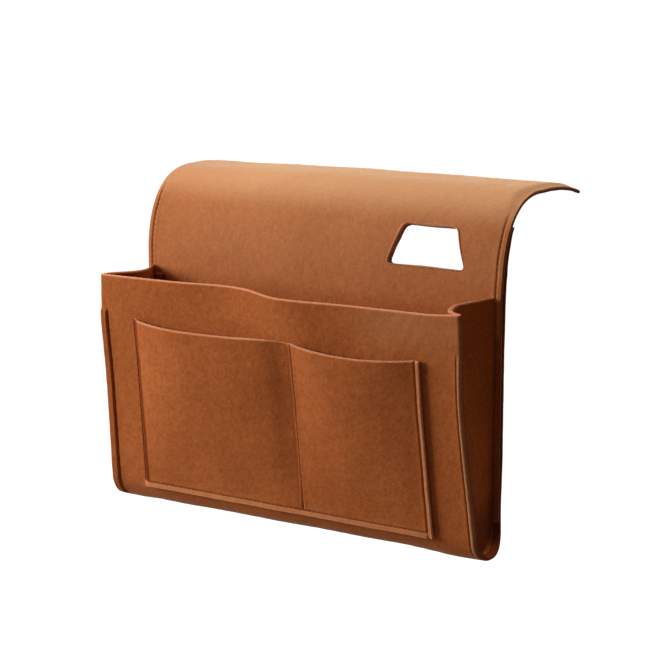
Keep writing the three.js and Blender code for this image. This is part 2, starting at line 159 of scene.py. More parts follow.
@dataclass(frozen=True)
class Unevenness:
    """The felt's unevenness: a coarse ripple and a fine one, each with its height and wavelength."""

    coarse: float
    coarse_wave: float
    fine: float
    fine_wave: float
    seed: int

    def at(self, a: Array, b: Array) -> Array:
        """Gives the height of the two ripples together."""
        coarse = self.coarse * ripple(a, b, self.coarse_wave, self.seed)
        return coarse + self.fine * ripple(a, b, self.fine_wave, self.seed + 1)


def stations(
    low: float, high: float, step: float, marks: tuple[float, ...] = (), reach: float = 0.004
) -> Array:
    """Places sample points evenly, with finer ones around some marks.

    Args:
        low: First point.
        high: Last point.
        step: Largest spacing.
        marks: Places that need finer sampling.
        reach: Distance on both sides of a mark that is sampled finely.

    Returns:
        The sorted sample points, with closer ones at both ends too.
    """
    count = max(2, int(math.ceil((high - low) / step)) + 1)
    even = np.sort(np.concatenate([np.linspace(low, high, count), low + END_STEPS, high - END_STEPS]))
    for mark in marks:
        even = even[(np.abs(even - mark) > reach + step / 4) | (even == low) | (even == high)]
    fine = [mark + np.linspace(-reach, reach, MARK_STEPS) for mark in marks]
    every = np.unique(np.clip(np.concatenate([even, *fine]), low, high).round(7))
    keep = np.concatenate([[True], np.diff(every) > CLOSEST_STATIONS])
    keep[-1] = True
    return every[keep]


def with_patch(points: Array, low: float, high: float) -> Array:
    """Puts an even run of finer sample points between two places.

    Args:
        points: The sample points.
        low: Where the run starts.
        high: Where it ends.

    Returns:
        The sorted sample points.
    """
    inside = np.linspace(low, high, int((high - low) / PATCH_STEP) + 1)
    outside = points[(points < low - PATCH_CLEARANCE) | (points > high + PATCH_CLEARANCE)]
    return np.sort(np.concatenate([outside, inside]))


@dataclass(frozen=True)
class Path:
    """A line in the side view with the direction that its outer face looks in.

    Attributes:
        length: Distance along the line at each point.
        place: (y, z) of each point.
        normal: Unit (y, z) of the outer face.
    """

    length: Array
    place: Array
    normal: Array

    @classmethod
    def through(cls, place: Array, normal: Array) -> "Path":
        """Makes a path through points, and drops those that lie on the one before.

        Args:
            place: (y, z) of the points.
            normal: (y, z) of the outer face at the points.

        Returns:
            The path.
        """
        keep = np.concatenate([[True], np.diff(lengths(place)) > SAME_PLACE])
        return cls(lengths(place[keep]), place[keep], normal[keep])

    @property
    def end(self) -> float:
        """The path's whole length."""
        return float(self.length[-1])

    def at(self, distance: Array, raised: Array) -> tuple[Array, Array]:
        """Gives points at a distance along the line, raised along the outer normal.

        Args:
            distance: Distance along the line; past its ends it goes on straight.
            raised: Height above the outer face.

        Returns:
            The points' y and z.
        """
        columns = (*self.place.T, *self.normal.T)
        y, z, ny, nz = (np.interp(distance, self.length, column) for column in columns)
        size = np.hypot(ny, nz)
        ny, nz = ny / size, nz / size
        over = np.where(distance < 0, distance, np.maximum(distance - self.end, 0))
        return y + ny * raised + nz * over, z + nz * raised - ny * over


@dataclass(frozen=True)
class Section:
    """The caddy's side view and the sizes that its pieces share."""

    felt: float = 0.003
    gap: float = 0.0003
    width: float = 0.352
    bend_depth: float = 0.062
    bend_height: float = 0.075
    bend_fullness: float = 2.3
    bend_split: float = 0.47
    flap_level: float = 0.018
    droop_radius: float = 0.165
    flap_reach: float = 0.133
    rim_drop: float = 0.083
    rim_depth: float = 0.0665
    turn_drop: float = 0.264
    turn_radius: float = 0.025
    left_flare: float = 0.0098
    right_flare: float = 0.0035
    flare_power: float = 5.0
    right_spread: float = 0.0012
    spread_start: float = -0.090
    spread_reach: float = 0.030
    bend_points: ClassVar[int] = 60

    @property
    def half(self) -> float:
        """Half of the caddy's width."""
        return self.width / 2

    @property
    def rear_depth(self) -> float:
        """Distance of the rear face behind the front face of the back panel."""
        return 2 * self.felt + self.gap

    @property
    def turn_centre(self) -> tuple[float, float]:
        """Centre of the bottom turn."""
        return self.rear_depth - self.turn_radius, -self.turn_drop

    @property
    def tangent(self) -> float:
        """Angle at which the bottom turn meets the front, by the tangent from the rim to the circle."""
        y = -self.rim_depth - self.turn_centre[0]
        z = -self.rim_drop - self.turn_centre[1]
        return math.atan2(z, y) + math.acos(self.turn_radius / math.hypot(y, z))

    @property
    def front_foot(self) -> tuple[float, float]:
        """Point where the front panel begins above the bottom turn."""
        y, z = self.turn_centre
        return y + self.turn_radius * math.cos(self.tangent), z + self.turn_radius * math.sin(self.tangent)

    @property
    def front_length(self) -> float:
        """Length of the front panel from its foot to the rim."""
        y, z = self.front_foot
        return math.hypot(-self.rim_depth - y, -self.rim_drop - z)

    def bend(self, share: Array) -> tuple[Array, Array]:
        """Gives the bend, a quarter of a superellipse.

        Args:
            share: 0 at the upright end and 1 at the level end.

        Returns:
            The points and the outer normals, each as (y, z) rows.
        """
        run = np.maximum(np.cos(share * math.pi / 2), 0)
        rise = np.maximum(np.sin(share * math.pi / 2), 0)
        power = 2 / self.bend_fullness
        place = np.stack([self.bend_depth * (1 - run**power), -self.bend_height * (1 - rise**power)], 1)
        slope = 2 * (self.bend_fullness - 1) / self.bend_fullness
        normal = np.stack([-(run**slope) / self.bend_depth, rise**slope / self.bend_height], 1)
        return place, normal / np.hypot(*normal.T)[:, None]

    def long_path(self) -> Path:
        """Gives the outer face of the long sheet: up the back, over the bend and along the flap.

        Returns:
            The path from the bottom of the back panel to the tip of the flap.
        """
        upright = np.stack([np.zeros(40), np.linspace(-self.turn_drop, -self.bend_height, 40)], 1)
        bend, bend_normal = self.bend(np.linspace(0, 1, 160))
        start = self.bend_depth + self.flap_level
        angle = np.linspace(0, math.asin((self.flap_reach - start) / self.droop_radius), 60)
        over = np.stack([np.sin(angle), np.cos(angle)], 1)
        droop = self.droop_radius * over + np.array([start, -self.droop_radius])
        normal = np.concatenate([np.tile([-1.0, 0.0], (40, 1)), bend_normal, over])
        return Path.through(np.concatenate([upright, bend, droop]), normal)

    def wrap_path(self) -> Path:
        """Gives the outer face of the wrapping sheet: down behind the back, round the bottom, up the front.

        Returns:
            The path from the upper rear edge to the rim of the main pocket.
        """
        bend, normal = self.bend(np.linspace(self.bend_split, 0, self.bend_points))
        rear = bend - normal * self.rear_depth
        angle = np.linspace(0, self.tangent - 2 * math.pi, 90)
        turn_normal = np.stack([np.cos(angle), np.sin(angle)], 1)
        turn = np.array(self.turn_centre) + self.turn_radius * turn_normal
        rim = np.array([[-self.rim_depth, -self.rim_drop]])
        place = np.concatenate([rear, turn, rim])
        return Path.through(place, np.concatenate([-normal, turn_normal, turn_normal[-1:]]))

    def spread(self, x: Array, y: Array, z: Array) -> Array:
        """Gives how far the right edge stands out behind and above the rim, by the fifth power across."""
        behind = self.right_spread * (y > self.turn_centre[0])
        return behind * (np.maximum(x, 0) / self.half) ** 5 * rises(z, self.spread_start, self.spread_reach)

    def placed(self, x: Array, y: Array, z: Array) -> Array:
        """Moves points of the side view to the model's origin, under the level stretch of the flap."""
        return np.stack([x + 0 * y, y - self.bend_depth - self.flap_level / 2, z + self.felt], -1)

    def point(self, y: float, z: float) -> tuple[float, float, float]:
        """Gives one point of the side view in the model's frame."""
        return (0.0, y - self.bend_depth - self.flap_level / 2, z + self.felt)


@dataclass(frozen=True)
class FrontShape:
    """How the front panel bows, and how its sides run."""

    section: Section = Section()
    bow_out: float = 0.005
    bow_out_centre: float = 0.019
    bow_in: float = 0.006
    bow_in_centre: float = -0.050
    bow_spread: float = 0.040
    bow_power: float = 4.0
    edge_clearance: float = 0.014
    rim_step: float = 0.0023
    rim_step_centre: float = -0.012
    rim_step_spread: float = 0.034
    left_flare_power: float = 0.85
    right_flare_power: float = 4.0
    left_bulge: float = 0.0022
    left_bulge_height: float = 0.150
    left_bulge_spread: float = 0.030
    right_waist: float = 0.0027
    right_waist_height: float = 0.108
    right_waist_spread: float = 0.050
    right_heel: float = 0.0030
    heel_start: float = 0.012
    heel_reach: float = 0.020

    def widened(self, x: Array, height: Array) -> Array:
        """Gives the shift along X of the front: wider at its foot, a left bulge and a right waist.

        On the left the flare falls almost evenly to the rim, with a bell under the rim. On the
        right it falls with the fourth power, less a bell at two thirds of the way up, and the
        heel behind the bottom spreads. All of it grows with the fifth power of the share across.

        Args:
            x: Place across.
            height: Distance above the foot, negative below it.

        Returns:
            The shift along X.
        """
        section = self.section
        share = np.clip(1 - np.maximum(height, 0) / section.front_length, 0, 1)
        bulge = self.left_bulge * hump(height, self.left_bulge_height, self.left_bulge_spread)
        left = section.left_flare * share**self.left_flare_power + bulge
        waist = self.right_waist * hump(height, self.right_waist_height, self.right_waist_spread)
        heel = self.right_heel * falls(height, -self.heel_start, self.heel_reach)
        right = section.right_flare * share**self.right_flare_power - waist + heel
        return np.where(x < 0, -left, right) * (np.abs(x) / section.half) ** section.flare_power

    def bow(self, x: Array, height: Array) -> Array:
        """Gives how far the panel stands out: a bell outwards less a bell inwards, most at the rim.

        Args:
            x: Place across.
            height: Distance above the foot.

        Returns:
            The height over the flat panel.
        """
        half, length = self.section.half, self.section.front_length
        out = self.bow_out * hump(x, self.bow_out_centre, self.bow_spread)
        inward = self.bow_in * hump(x, self.bow_in_centre, self.bow_spread)
        edge = falls(np.abs(x), half - self.edge_clearance, self.bow_spread)
        return (out - inward) * edge * np.maximum(height / length, 0) ** self.bow_power

    def fall(self, x: Array, height: Array) -> Array:
        """Gives how far a row lies lower on the right, where the panel bows out.

        Args:
            x: Place across.
            height: Distance above the foot.

        Returns:
            The fall, an S curve across, fading at the edges and towards the foot.
        """
        reach = self.rim_step_spread
        side = rises(x, self.rim_step_centre - reach / 2, reach) * falls(np.abs(x), self.section.half, reach)
        return self.rim_step * side * np.maximum(height, 0) / self.section.front_length

    def surface(self, path: Path, x: Array, height: Array, raised: Array) -> Array:
        """Gives points of the front, on the wrapping sheet's path with the bow and the flare added.

        Args:
            path: The wrapping sheet's path.
            x: Place across.
            height: Distance above the foot of the panel.
            raised: Height over the panel's outer face.

        Returns:
            The points.
        """
        foot = path.end - self.section.front_length
        y, z = path.at(foot + height - self.fall(x, height), raised + self.bow(x, height))
        return self.section.placed(x + self.widened(x, height), y, z)


def linked(name: str, data: bpy.types.ID) -> bpy.types.Object:
    """Makes an object of some data and puts it into the scene.

    Args:
        name: Name of the object.
        data: Its mesh, camera or light.

    Returns:
        The object.
    """
    made = bpy.data.objects.new(name, data)
    bpy.context.scene.collection.objects.link(made)
    return made


def quads(grid: Array) -> Array:
    """Gives the faces between the neighbouring indices of a grid, or of each in a stack of grids."""
    corners = (grid[..., :-1, :-1], grid[..., :-1, 1:], grid[..., 1:, 1:], grid[..., 1:, :-1])
    return np.stack([corner.ravel() for corner in corners], 1)


@dataclass
class Mesh:
    """Vertices and four-cornered faces, with three marks per vertex: cut edge, painted shade and painted
    highlight.
    """

    points: Array
    faces: Array
    marks: Array

    def closed_outwards(self) -> "Mesh":
        """Drops unused vertices, and turns all faces round if the enclosed volume is negative.

        Returns:
            The same mesh with its faces pointing out.
        """
        used, faces = np.unique(self.faces, return_inverse=True)
        self.faces = faces.reshape(-1, 4)
        self.points, self.marks = self.points[used], self.marks[used]
        a, b, c, d = (self.points[self.faces[:, i]] for i in range(4))
        volume = np.einsum("ij,ij->", a, np.cross(b, c)) + np.einsum("ij,ij->", a, np.cross(c, d))
        if volume < 0:
            self.faces = self.faces[:, ::-1]
        return self

    def to_object(self, name: str, material: bpy.types.Material) -> bpy.types.Object:
        """Puts the arrays into a smooth-shaded Blender mesh.

        Args:
            name: Name of the piece.
            material: Its finish.

        Returns:
            The new object.
        """
        data = bpy.data.meshes.new(name)
        count = len(self.faces)
        data.vertices.add(len(self.points))
        data.vertices.foreach_set("co", self.points.astype(np.float32).ravel())
        data.loops.add(4 * count)
        data.loops.foreach_set("vertex_index", self.faces.astype(np.int32).ravel())
        data.polygons.add(count)
        data.polygons.foreach_set("loop_start", np.arange(0, 4 * count, 4, dtype=np.int32))
        data.polygons.foreach_set("loop_total", np.full(count, 4, dtype=np.int32))
        data.update(calc_edges=True)
        data.validate()
        data.polygons.foreach_set("use_smooth", np.ones(len(data.polygons), dtype=bool))
        for column, mark in enumerate(("cut_edge_highlight", "painted_shade", "painted_highlight")):
            attribute = data.attributes.new(mark, "FLOAT", "POINT")
            attribute.data.foreach_set("value", self.marks[:, column].astype(np.float32))
        data.materials.append(material)
        return linked(name, data)


@dataclass
class Parts:
    """A mesh in the making: grids of points with their marks, and faces over their indices."""

    points: list[Array] = field(default_factory=list)
    marks: list[Array] = field(default_factory=list)
    faces: list[Array] = field(default_factory=list)
    count: int = 0

    def add(self, points: Array, marks: Array) -> Array:
        """Adds a grid of points.

        Args:
            points: The points in rows and columns.
            marks: Their marks.

        Returns:
            Their indices in the same rows and columns.
        """
        rows, columns = points.shape[:2]
        index = self.count + np.arange(rows * columns).reshape(rows, columns)
        self.points.append(points.reshape(-1, 3))
        self.marks.append(marks.reshape(-1, 3))
        self.count += index.size
        return index

    def band(self, rows: list[Array], turned: bool) -> None:
        """Adds the faces of a closed band.

        Args:
            rows: Rows of indices, each closed into a ring.
            turned: Whether the faces are turned round.
        """
        index = np.vstack(rows)
        faces = quads(np.hstack([index, index[:, :1]]))
        self.faces.append(faces[:, ::-1] if turned else faces)

    def mesh(self) -> Mesh:
        """Gives the closed mesh with its faces pointing out."""
        made = Mesh(np.concatenate(self.points), np.concatenate(self.faces), np.concatenate(self.marks))
        return made.closed_outwards()


@dataclass(frozen=True)
class Hole:
    """A rounded hole in a sheet, as a closed outline in the sheet's own coordinates.

    Attributes:
        outline: (across, along) points round the hole.
        low: Lower corner of the grid patch that the hole takes.
        high: Upper corner of that patch.
        rings: Rows of faces between the patch and the hole.
        crowding: Power by which the rows draw close to the hole.
    """

    outline: Array
    low: tuple[float, float]
    high: tuple[float, float]
    rings: int = 5
    crowding: float = 1.5

    def towards(self, across: Array, along: Array) -> tuple[Array, Array]:
        """Gives the outline point that lies in the same direction from the centre as each point.

        Args:
            across: First coordinate of the points.
            along: Second coordinate of the points.

        Returns:
            The outline points' coordinates.
        """
        centre = (self.outline.max(0) + self.outline.min(0)) / 2
        turn = np.arctan2(self.outline[:, 1] - centre[1], self.outline[:, 0] - centre[0])
        reach = np.hypot(*(self.outline - centre).T)
        order = np.argsort(turn)
        wanted = np.arctan2(along - centre[1], across - centre[0])
        radius = np.interp(wanted, turn[order], reach[order], period=2 * math.pi)
        return centre[0] + radius * np.cos(wanted), centre[1] + radius * np.sin(wanted)

    def takes(self, across: Array, along: Array) -> Array:
        """Tells which places lie in the patch, its edge included."""
        inside = (across >= self.low[0] - SAME_PLACE) & (across <= self.high[0] + SAME_PLACE)
        return inside & (along >= self.low[1] - SAME_PLACE) & (along <= self.high[1] + SAME_PLACE)


class Sheet:
    """What a felt sheet says of its own surface; each sheet overrides what it needs."""

    # Whether the sides keep the cut edges' lighter colour instead of taking painted shade.
    light_sides: ClassVar[bool] = False
    # Width of the inner face's margins that take the sides' painted shade.
    margin: ClassVar[float] = 0.0

    def surface(self, across: Array, along: Array, share: Array) -> Array:
        """Gives points from (across, along, share of the thickness from the outer face)."""
        raise NotImplementedError

    def painted_shade(self, across: Array, along: Array) -> Array:
        """Gives the painted shade on each point of the outer face, from 0 to 1, standing in for shade in
        creases.
        """
        return np.zeros(across.shape)

    def painted_highlight(self, across: Array, along: Array) -> Array:
        """Gives the painted highlight on the outer face, from 0 to 1, a paler tan that stands in for light
        falling on it.
        """
        return np.zeros(across.shape)

    def side_shade(self, along: Array) -> Array:
        """Gives the painted shade of the sides and the inner face's margins, from 0 to 1."""
        return np.zeros(along.shape)


@dataclass
class FeltShell:
    """A closed felt sheet over a surface of two parameters, with softly rounded cut edges.

    Attributes:
        sheet: Gives the surface and its marks.
        across: Sample points across, from edge to edge.
        along: Sample points along, from end to end.
        felt: Thickness.
        hole: Optional hole.
        rounding: Radius of the cut edges.
        fullness: How far the middle of a cut edge stands out, in radii.
        marked_rows: Rows of a cut edge, from the outer face, that take the outer face's marks.
    """

    sheet: Sheet
    across: Array
    along: Array
    felt: float
    hole: Hole | None = None
    rounding: float = 0.0011
    fullness: float = 1.05
    marked_rows: int = 3

    def edge_profile(self) -> Array:
        """Gives (distance outwards, share of the thickness) of the rows round a cut edge.

        Two quarter circles of the rounding radius with a faintly full wall between them.

        Returns:
            The rows, from the outer face to the inner one.
        """
        turn = np.radians([20.0, 40.0, 60.0, 78.0])
        out = self.rounding * np.sin(turn)
        down = self.rounding * (1 - np.cos(turn)) / self.felt
        middle = [[self.rounding * self.fullness, 0.5]]
        return np.concatenate([np.stack([out, down], 1), middle, np.stack([out, 1 - down], 1)[::-1]])

    def inside(self, across: Array) -> Array:
        """Gives the distance from the nearer side of the sheet."""
        return np.minimum(across - self.across[0], self.across[-1] - across)

    def marked(self, across: Array, along: Array) -> Array:
        """Gives the outer face's marks: no cut edge, the painted shade and the painted highlight."""
        painted_shade, painted_highlight = self.sheet.painted_shade(across, along), self.sheet.painted_highlight(across, along)
        return np.stack([np.zeros(across.shape), painted_shade, painted_highlight], -1)

    def close(
        self, parts: Parts, near: Array, edge: tuple[Array, Array], outwards: tuple[Array, Array], far: Array
    ) -> None:
        """Builds one rounded cut edge between the outer and the inner face.

        Args:
            parts: The mesh in the making.
            near: Indices of the outer face's loop.
            edge: Coordinates of the loop.
            outwards: Direction away from the felt at each point of the loop.
            far: Indices of the inner face's loop.
        """
        distance, share = self.edge_profile().T[:, :, None]
        u, v = (place + away * distance for place, away in zip(edge, outwards))
        points = self.sheet.surface(u, v, np.broadcast_to(share, u.shape))
        marks = np.zeros(points.shape)
        # Sides take painted shade in place of the cut edges' lighter colour.
        side = (np.abs(outwards[0]) > 0.9) & (self.inside(edge[0]) < 2 * self.rounding)
        shaded = side & (not self.sheet.light_sides)
        marks[: self.marked_rows] = self.marked(*edge)
        marks[:, :, 0] = ~shaded
        marks[1:, :, 1] = np.maximum(marks[1:, :, 1], shaded * self.sheet.side_shade(edge[1]))
        parts.band([near, parts.add(points, marks), far], turned=True)

    @staticmethod
    def around(grid: Array) -> Array:
        """Gives the indices round the border of a grid."""
        return np.concatenate([grid[0, :-1], grid[:-1, -1], grid[-1, :0:-1], grid[:0:-1, 0]])

    def line_hole(self, parts: Parts, u: Array, v: Array, outer: Array) -> None:
        """Fits rows of faces between the grid and the hole on both faces, and the hole's cut edge.

        Args:
            parts: The mesh in the making.
            u: Places across of the grid.
            v: Places along of the grid.
            outer: Indices of the outer face.
        """
        taken = self.hole.takes(u, v)
        rows, columns = np.flatnonzero(taken.any(1)), np.flatnonzero(taken.any(0))
        loop = self.around(outer[rows[0] : rows[-1] + 1, columns[0] : columns[-1] + 1])
        start = u.ravel()[loop], v.ravel()[loop]
        end = self.hole.towards(*start)
        steps = 1 - (1 - np.linspace(0, 1, self.hole.rings + 1)[1:, None]) ** self.hole.crowding
        ring = [near + (far - near) * steps for near, far in zip(start, end)]
        last = []
        for share, border in ((0.0, loop), (1.0, loop + outer.size)):
            points = self.sheet.surface(*ring, np.full(ring[0].shape, share))
            index = parts.add(points, self.marked(*ring) * (1 - share))
            parts.band([border, index], turned=share > 0)
            last.append(index[-1])
        inwards = [np.mean(place) - place for place in end]
        reach = np.hypot(*inwards)
        self.close(parts, last[0], end, (inwards[0] / reach, inwards[1] / reach), last[1])

    def build(self) -> Mesh:
        """Builds the two faces, the cut edges all round and the hole's edge.

        Returns:
            The closed mesh.
        """
        pad = self.rounding
        across, along = (np.clip(line, line[0] + pad, line[-1] - pad) for line in (self.across, self.along))
        u, v = np.meshgrid(across, along)
        parts = Parts()
        outer = parts.add(self.sheet.surface(u, v, np.zeros_like(u)), self.marked(u, v))
        # The inner face's margins take the painted shade of the sides.
        hidden = np.zeros((*u.shape, 3))
        hidden[:, :, 1] = self.sheet.side_shade(v) * (self.inside(u) < self.sheet.margin)
        inner = parts.add(self.sheet.surface(u, v, np.ones_like(u)), hidden)
        solid = np.full((u.shape[0] - 1, u.shape[1] - 1), True)
        if self.hole is not None:
            solid = ~self.hole.takes((u[:-1, :-1] + u[1:, 1:]) / 2, (v[:-1, :-1] + v[1:, 1:]) / 2)
        parts.faces += [quads(outer)[solid.ravel()], quads(inner)[solid.ravel()][:, ::-1]]
        loop = self.around(outer)
        edge = u.ravel()[loop], v.ravel()[loop]
        outwards = tuple(
            np.where(place >= line[-1], 1.0, 0.0) - np.where(place <= line[0], 1.0, 0.0)
            for place, line in zip(edge, (across, along))
        )
        self.close(parts, loop, edge, outwards, loop + outer.size)
        if self.hole is not None:
            self.line_hole(parts, u, v, outer)
        return parts.mesh()


@dataclass(frozen=True)
class Nodes:
    """Short ways to add and link the nodes of a material or of the world."""

    tree: bpy.types.NodeTree

    @classmethod
    def of(cls, owner: bpy.types.Material | bpy.types.World) -> "Nodes":
        """Empties the node tree of a material or a world.

        Args:
            owner: The material or the world.

        Returns:
            The nodes.
        """
        owner.use_nodes = True
        owner.node_tree.nodes.clear()
        return cls(owner.node_tree)

    def node(self, kind: str, *sources: Socket, **values: object) -> bpy.types.Node:
        """Adds a node.

        Args:
            kind: The node's type, without the words that all shader nodes start with.
            sources: Sockets that are linked to its first inputs.
            values: Properties, or inputs by their socket names with _ for a space.

        Returns:
            The node.
        """
        made = self.tree.nodes.new("ShaderNode" + kind)
        for key, value in values.items():
            socket = key.replace("_", " ")
            if socket in made.inputs:
                made.inputs[socket].default_value = value
            else:
                setattr(made, key, value)
        for source, socket in zip(sources, made.inputs):
            self.link(source, socket)
        return made

    def link(self, start: Socket, end: Socket) -> None:
        """Links two sockets."""
        self.tree.links.new(start, end)

    def mixed(self, share: Socket, first: Socket | Colour, second: Colour) -> Socket:
        """Mixes a second colour into a first.

        Args:
            share: The share of the second colour.
            first: Socket or colour.
            second: Colour.

        Returns:
            The mixed colour's socket.
        """
        mix = self.node("Mix", share, data_type="RGBA")
        if isinstance(first, bpy.types.NodeSocket):
            self.link(first, mix.inputs[6])
        else:
            mix.inputs[6].default_value = (*first, 1.0)
        mix.inputs[7].default_value = (*second, 1.0)
        return mix.outputs[2]

    def ranged(self, value: Socket, low: float, high: float, to_low: float, to_high: float) -> Socket:
        """Maps a value from one range to another, clamped."""
        names = {"From_Min": low, "From_Max": high, "To_Min": to_low, "To_Max": to_high}
        return self.node("MapRange", value, **names).outputs[0]

    def mark(self, name: str) -> Socket:
        """Gives one of the marks that each vertex carries."""
        return self.node("Attribute", attribute_name=name).outputs["Fac"]

    def noise(self, place: Socket, scale: float, detail: float, rough: float = 0.5) -> Socket:
        """Gives a noise of so many cells to the metre."""
        return self.node("TexNoise", place, Scale=scale, Detail=detail, Roughness=rough).outputs["Fac"]

    def bump(self, height: Socket, strength: float, distance: float, normal: Socket | None = None) -> Socket:
        """Gives the normal of a bump, laid over another bump's normal where there is one.

        Args:
            height: The bump's height.
            strength: Its strength.
            distance: Its depth in metres.
            normal: The normal that it is laid over.

        Returns:
            The normal's socket.
        """
        made = self.node("Bump", Strength=strength, Distance=distance)
        self.link(height, made.inputs["Height"])
        if normal is not None:
            self.link(normal, made.inputs["Normal"])
        return made.outputs["Normal"]

    def show(self, shader: Socket, kind: str = "OutputMaterial") -> None:
        """Links a shader to the output of the material or the world."""
        self.link(shader, self.node(kind).inputs["Surface"])

    def seen(self) -> Socket:
        """Gives 1 for camera, glossy and transmission rays: the largest of the light path's outputs.

        Returns:
            The value's socket.
        """
        path = self.node("LightPath")
        value = path.outputs["Is Camera Ray"]
        for ray in ("Is Glossy Ray", "Is Transmission Ray"):
            value = self.node("Math", value, path.outputs[ray], operation="MAXIMUM").outputs[0]
        return value


@dataclass(frozen=True)
class Pattern:
    """A noise, and the range of its values over which a colour comes in up to its share.

    Attributes:
        scale: Cells to the metre.
        detail: Steps of finer noise.
        rough: Strength of the finer steps.
        low: Value below which nothing of the colour shows.
        high: Value above which the share is full.
        share: The full share.
    """

    scale: float
    detail: float
    rough: float
    low: float
    high: float
    share: float

    def build(self, nodes: Nodes, place: Socket) -> Socket:
        """Gives the colour's share at each place."""
        noise = nodes.noise(place, self.scale, self.detail, self.rough)
        return nodes.ranged(noise, self.low, self.high, 0.0, self.share)


@dataclass(frozen=True)
class FeltFinish:
    """Pressed felt: mottled, flecked and napped, lighter at cut edges, with painted highlight and shade."""

    name: str
    ground: Colour
    deep: Colour
    light: Colour
    # The cut edges' lighter colour: partly the look of cut felt, partly painted highlight for the light on
    # rims and ends.
    cut_edge_highlight: Colour
    # Painted shade: this dark brown, mixed in by the shade mark, stands in for shade in grooves, folds,
    # margins and unlit sides.
    painted_shade: Colour = (0.120, 0.016, 0.003)
    # Painted highlight: this paler tan stands in for the light and sheen on the bend, the flap and lit bands
    # and ridges.
    painted_highlight: Colour = (0.620, 0.340, 0.170)
    painted_highlight_share: float = 0.75
    cut_edge_highlight_range: tuple[float, float] = (0.3, 0.9)
    cut_edge_highlight_share: float = 0.8
    painted_shade_share: float = 0.85
    sheen: float = 0.35
    sheen_tint: Colour = (1.0, 0.92, 0.72)
    nap: float = 0.45
    nap_depth: float = 0.0004
    lumps: float = 0.3
    lump_depth: float = 0.0012
    clouds: Pattern = Pattern(22.0, 2.0, 0.5, 0.36, 0.64, 0.36)
    mottle: Pattern = Pattern(260.0, 3.0, 0.65, 0.40, 0.66, 0.60)
    flecks: Pattern = Pattern(800.0, 2.0, 0.7, 0.46, 0.74, 0.50)

    def build(self) -> bpy.types.Material:
        """Builds the material: colours mixed over each other by patterns and marks, and two bumps.

        Returns:
            The felt material.
        """
        material = bpy.data.materials.new(self.name)
        nodes = Nodes.of(material)
        place = nodes.node("TexCoord").outputs["Object"]
        colour = self.ground
        for share, paint in (
            (self.clouds.build(nodes, place), self.deep),
            (self.mottle.build(nodes, place), self.deep),
            (self.flecks.build(nodes, place), self.light),
            # Painted highlight mixed over the felt.
            (nodes.ranged(nodes.mark("painted_highlight"), 0.0, 1.0, 0.0, self.painted_highlight_share), self.painted_highlight),
            # The cut edges' lighter colour, partly painted highlight.
            (nodes.ranged(nodes.mark("cut_edge_highlight"), *self.cut_edge_highlight_range, 0.0, self.cut_edge_highlight_share), self.cut_edge_highlight),
            # Painted shade, mixed in last.
            (nodes.ranged(nodes.mark("painted_shade"), 0.0, 1.0, 0.0, self.painted_shade_share), self.painted_shade),
        ):
            colour = nodes.mixed(share, colour, paint)
        fibres = nodes.bump(nodes.noise(place, 1000.0, 4.0, 0.75), self.nap, self.nap_depth)
        relief = nodes.bump(nodes.noise(place, 240.0, 3.0), self.lumps, self.lump_depth, fibres)
        body = nodes.node(
            "BsdfPrincipled",
            colour,
            Roughness=0.95,
            Specular_IOR_Level=0.0,
            Sheen_Weight=self.sheen,
            Sheen_Roughness=0.30,
            Sheen_Tint=(*self.sheen_tint, 1.0),
        )
        nodes.link(relief, body.inputs["Normal"])
        nodes.show(body.outputs["BSDF"])
        return material


@dataclass(frozen=True)
class ThreadFinish:
    """Twisted sewing thread in the felt's own colour."""

    name: str
    colour: Colour
    shaded: float = 0.6

    def build(self) -> bpy.types.Material:
        """Builds the material: a slight twist in bump and shade.

        Returns:
            The thread material.
        """
        material = bpy.data.materials.new(self.name)
        nodes = Nodes.of(material)
        twist = nodes.noise(nodes.node("TexCoord").outputs["Object"], 2600.0, 2.0)
        colour = nodes.mixed(twist, tuple(self.shaded * value for value in self.colour), self.colour)
        body = nodes.node("BsdfPrincipled", colour, Roughness=0.85, Specular_IOR_Level=0.15)
        nodes.link(nodes.bump(twist, 0.4, 0.0001), body.inputs["Normal"])
        nodes.show(body.outputs["BSDF"])
        return material


@dataclass
class Finishes:
    """The finishes of the caddy, built once."""

    outer: bpy.types.Material = field(init=False)
    inner: bpy.types.Material = field(init=False)
    thread: bpy.types.Material = field(init=False)

    def __post_init__(self) -> None:
        """Builds every finish."""
        self.outer = FeltFinish(
            "rust_felt",
            ground=(0.420, 0.122, 0.036),
            deep=(0.285, 0.066, 0.015),
            light=(0.520, 0.180, 0.062),
            cut_edge_highlight=(0.640, 0.265, 0.140),
        ).build()
        # Painted shade: the inner finish is the same felt painted darker and more saturated for the gussets,
        # which lie in shade; it has less sheen.
        self.inner = FeltFinish(
            "rust_felt_shaded",
            ground=(0.330, 0.080, 0.018),
            deep=(0.215, 0.038, 0.006),
            light=(0.410, 0.115, 0.032),
            cut_edge_highlight=(0.560, 0.240, 0.130),
            sheen=0.10,
        ).build()
        self.thread = ThreadFinish("rust_thread", (0.300, 0.085, 0.026)).build()


def dress(
    piece: bpy.types.Object, slot: Slot, nodes: tuple[str, ...], body: Body | None = None
) -> bpy.types.Object:
    """Hides the CAD nodes that a piece stands for, puts it on its body if it rides on one, and logs its slot.

    Args:
        piece: The finished piece.
        slot: Its material slot.
        nodes: The CAD nodes that it stands for.
        body: The body that it rides on.

    Returns:
        The piece.
    """
    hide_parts(*nodes)
    if body is not None:
        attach(piece, body.value)
    faces = len(piece.data.polygons)
    log.info("%s: %d faces, %s, stands for %s", piece.name, faces, slot.value, ", ".join(nodes))
    return piece


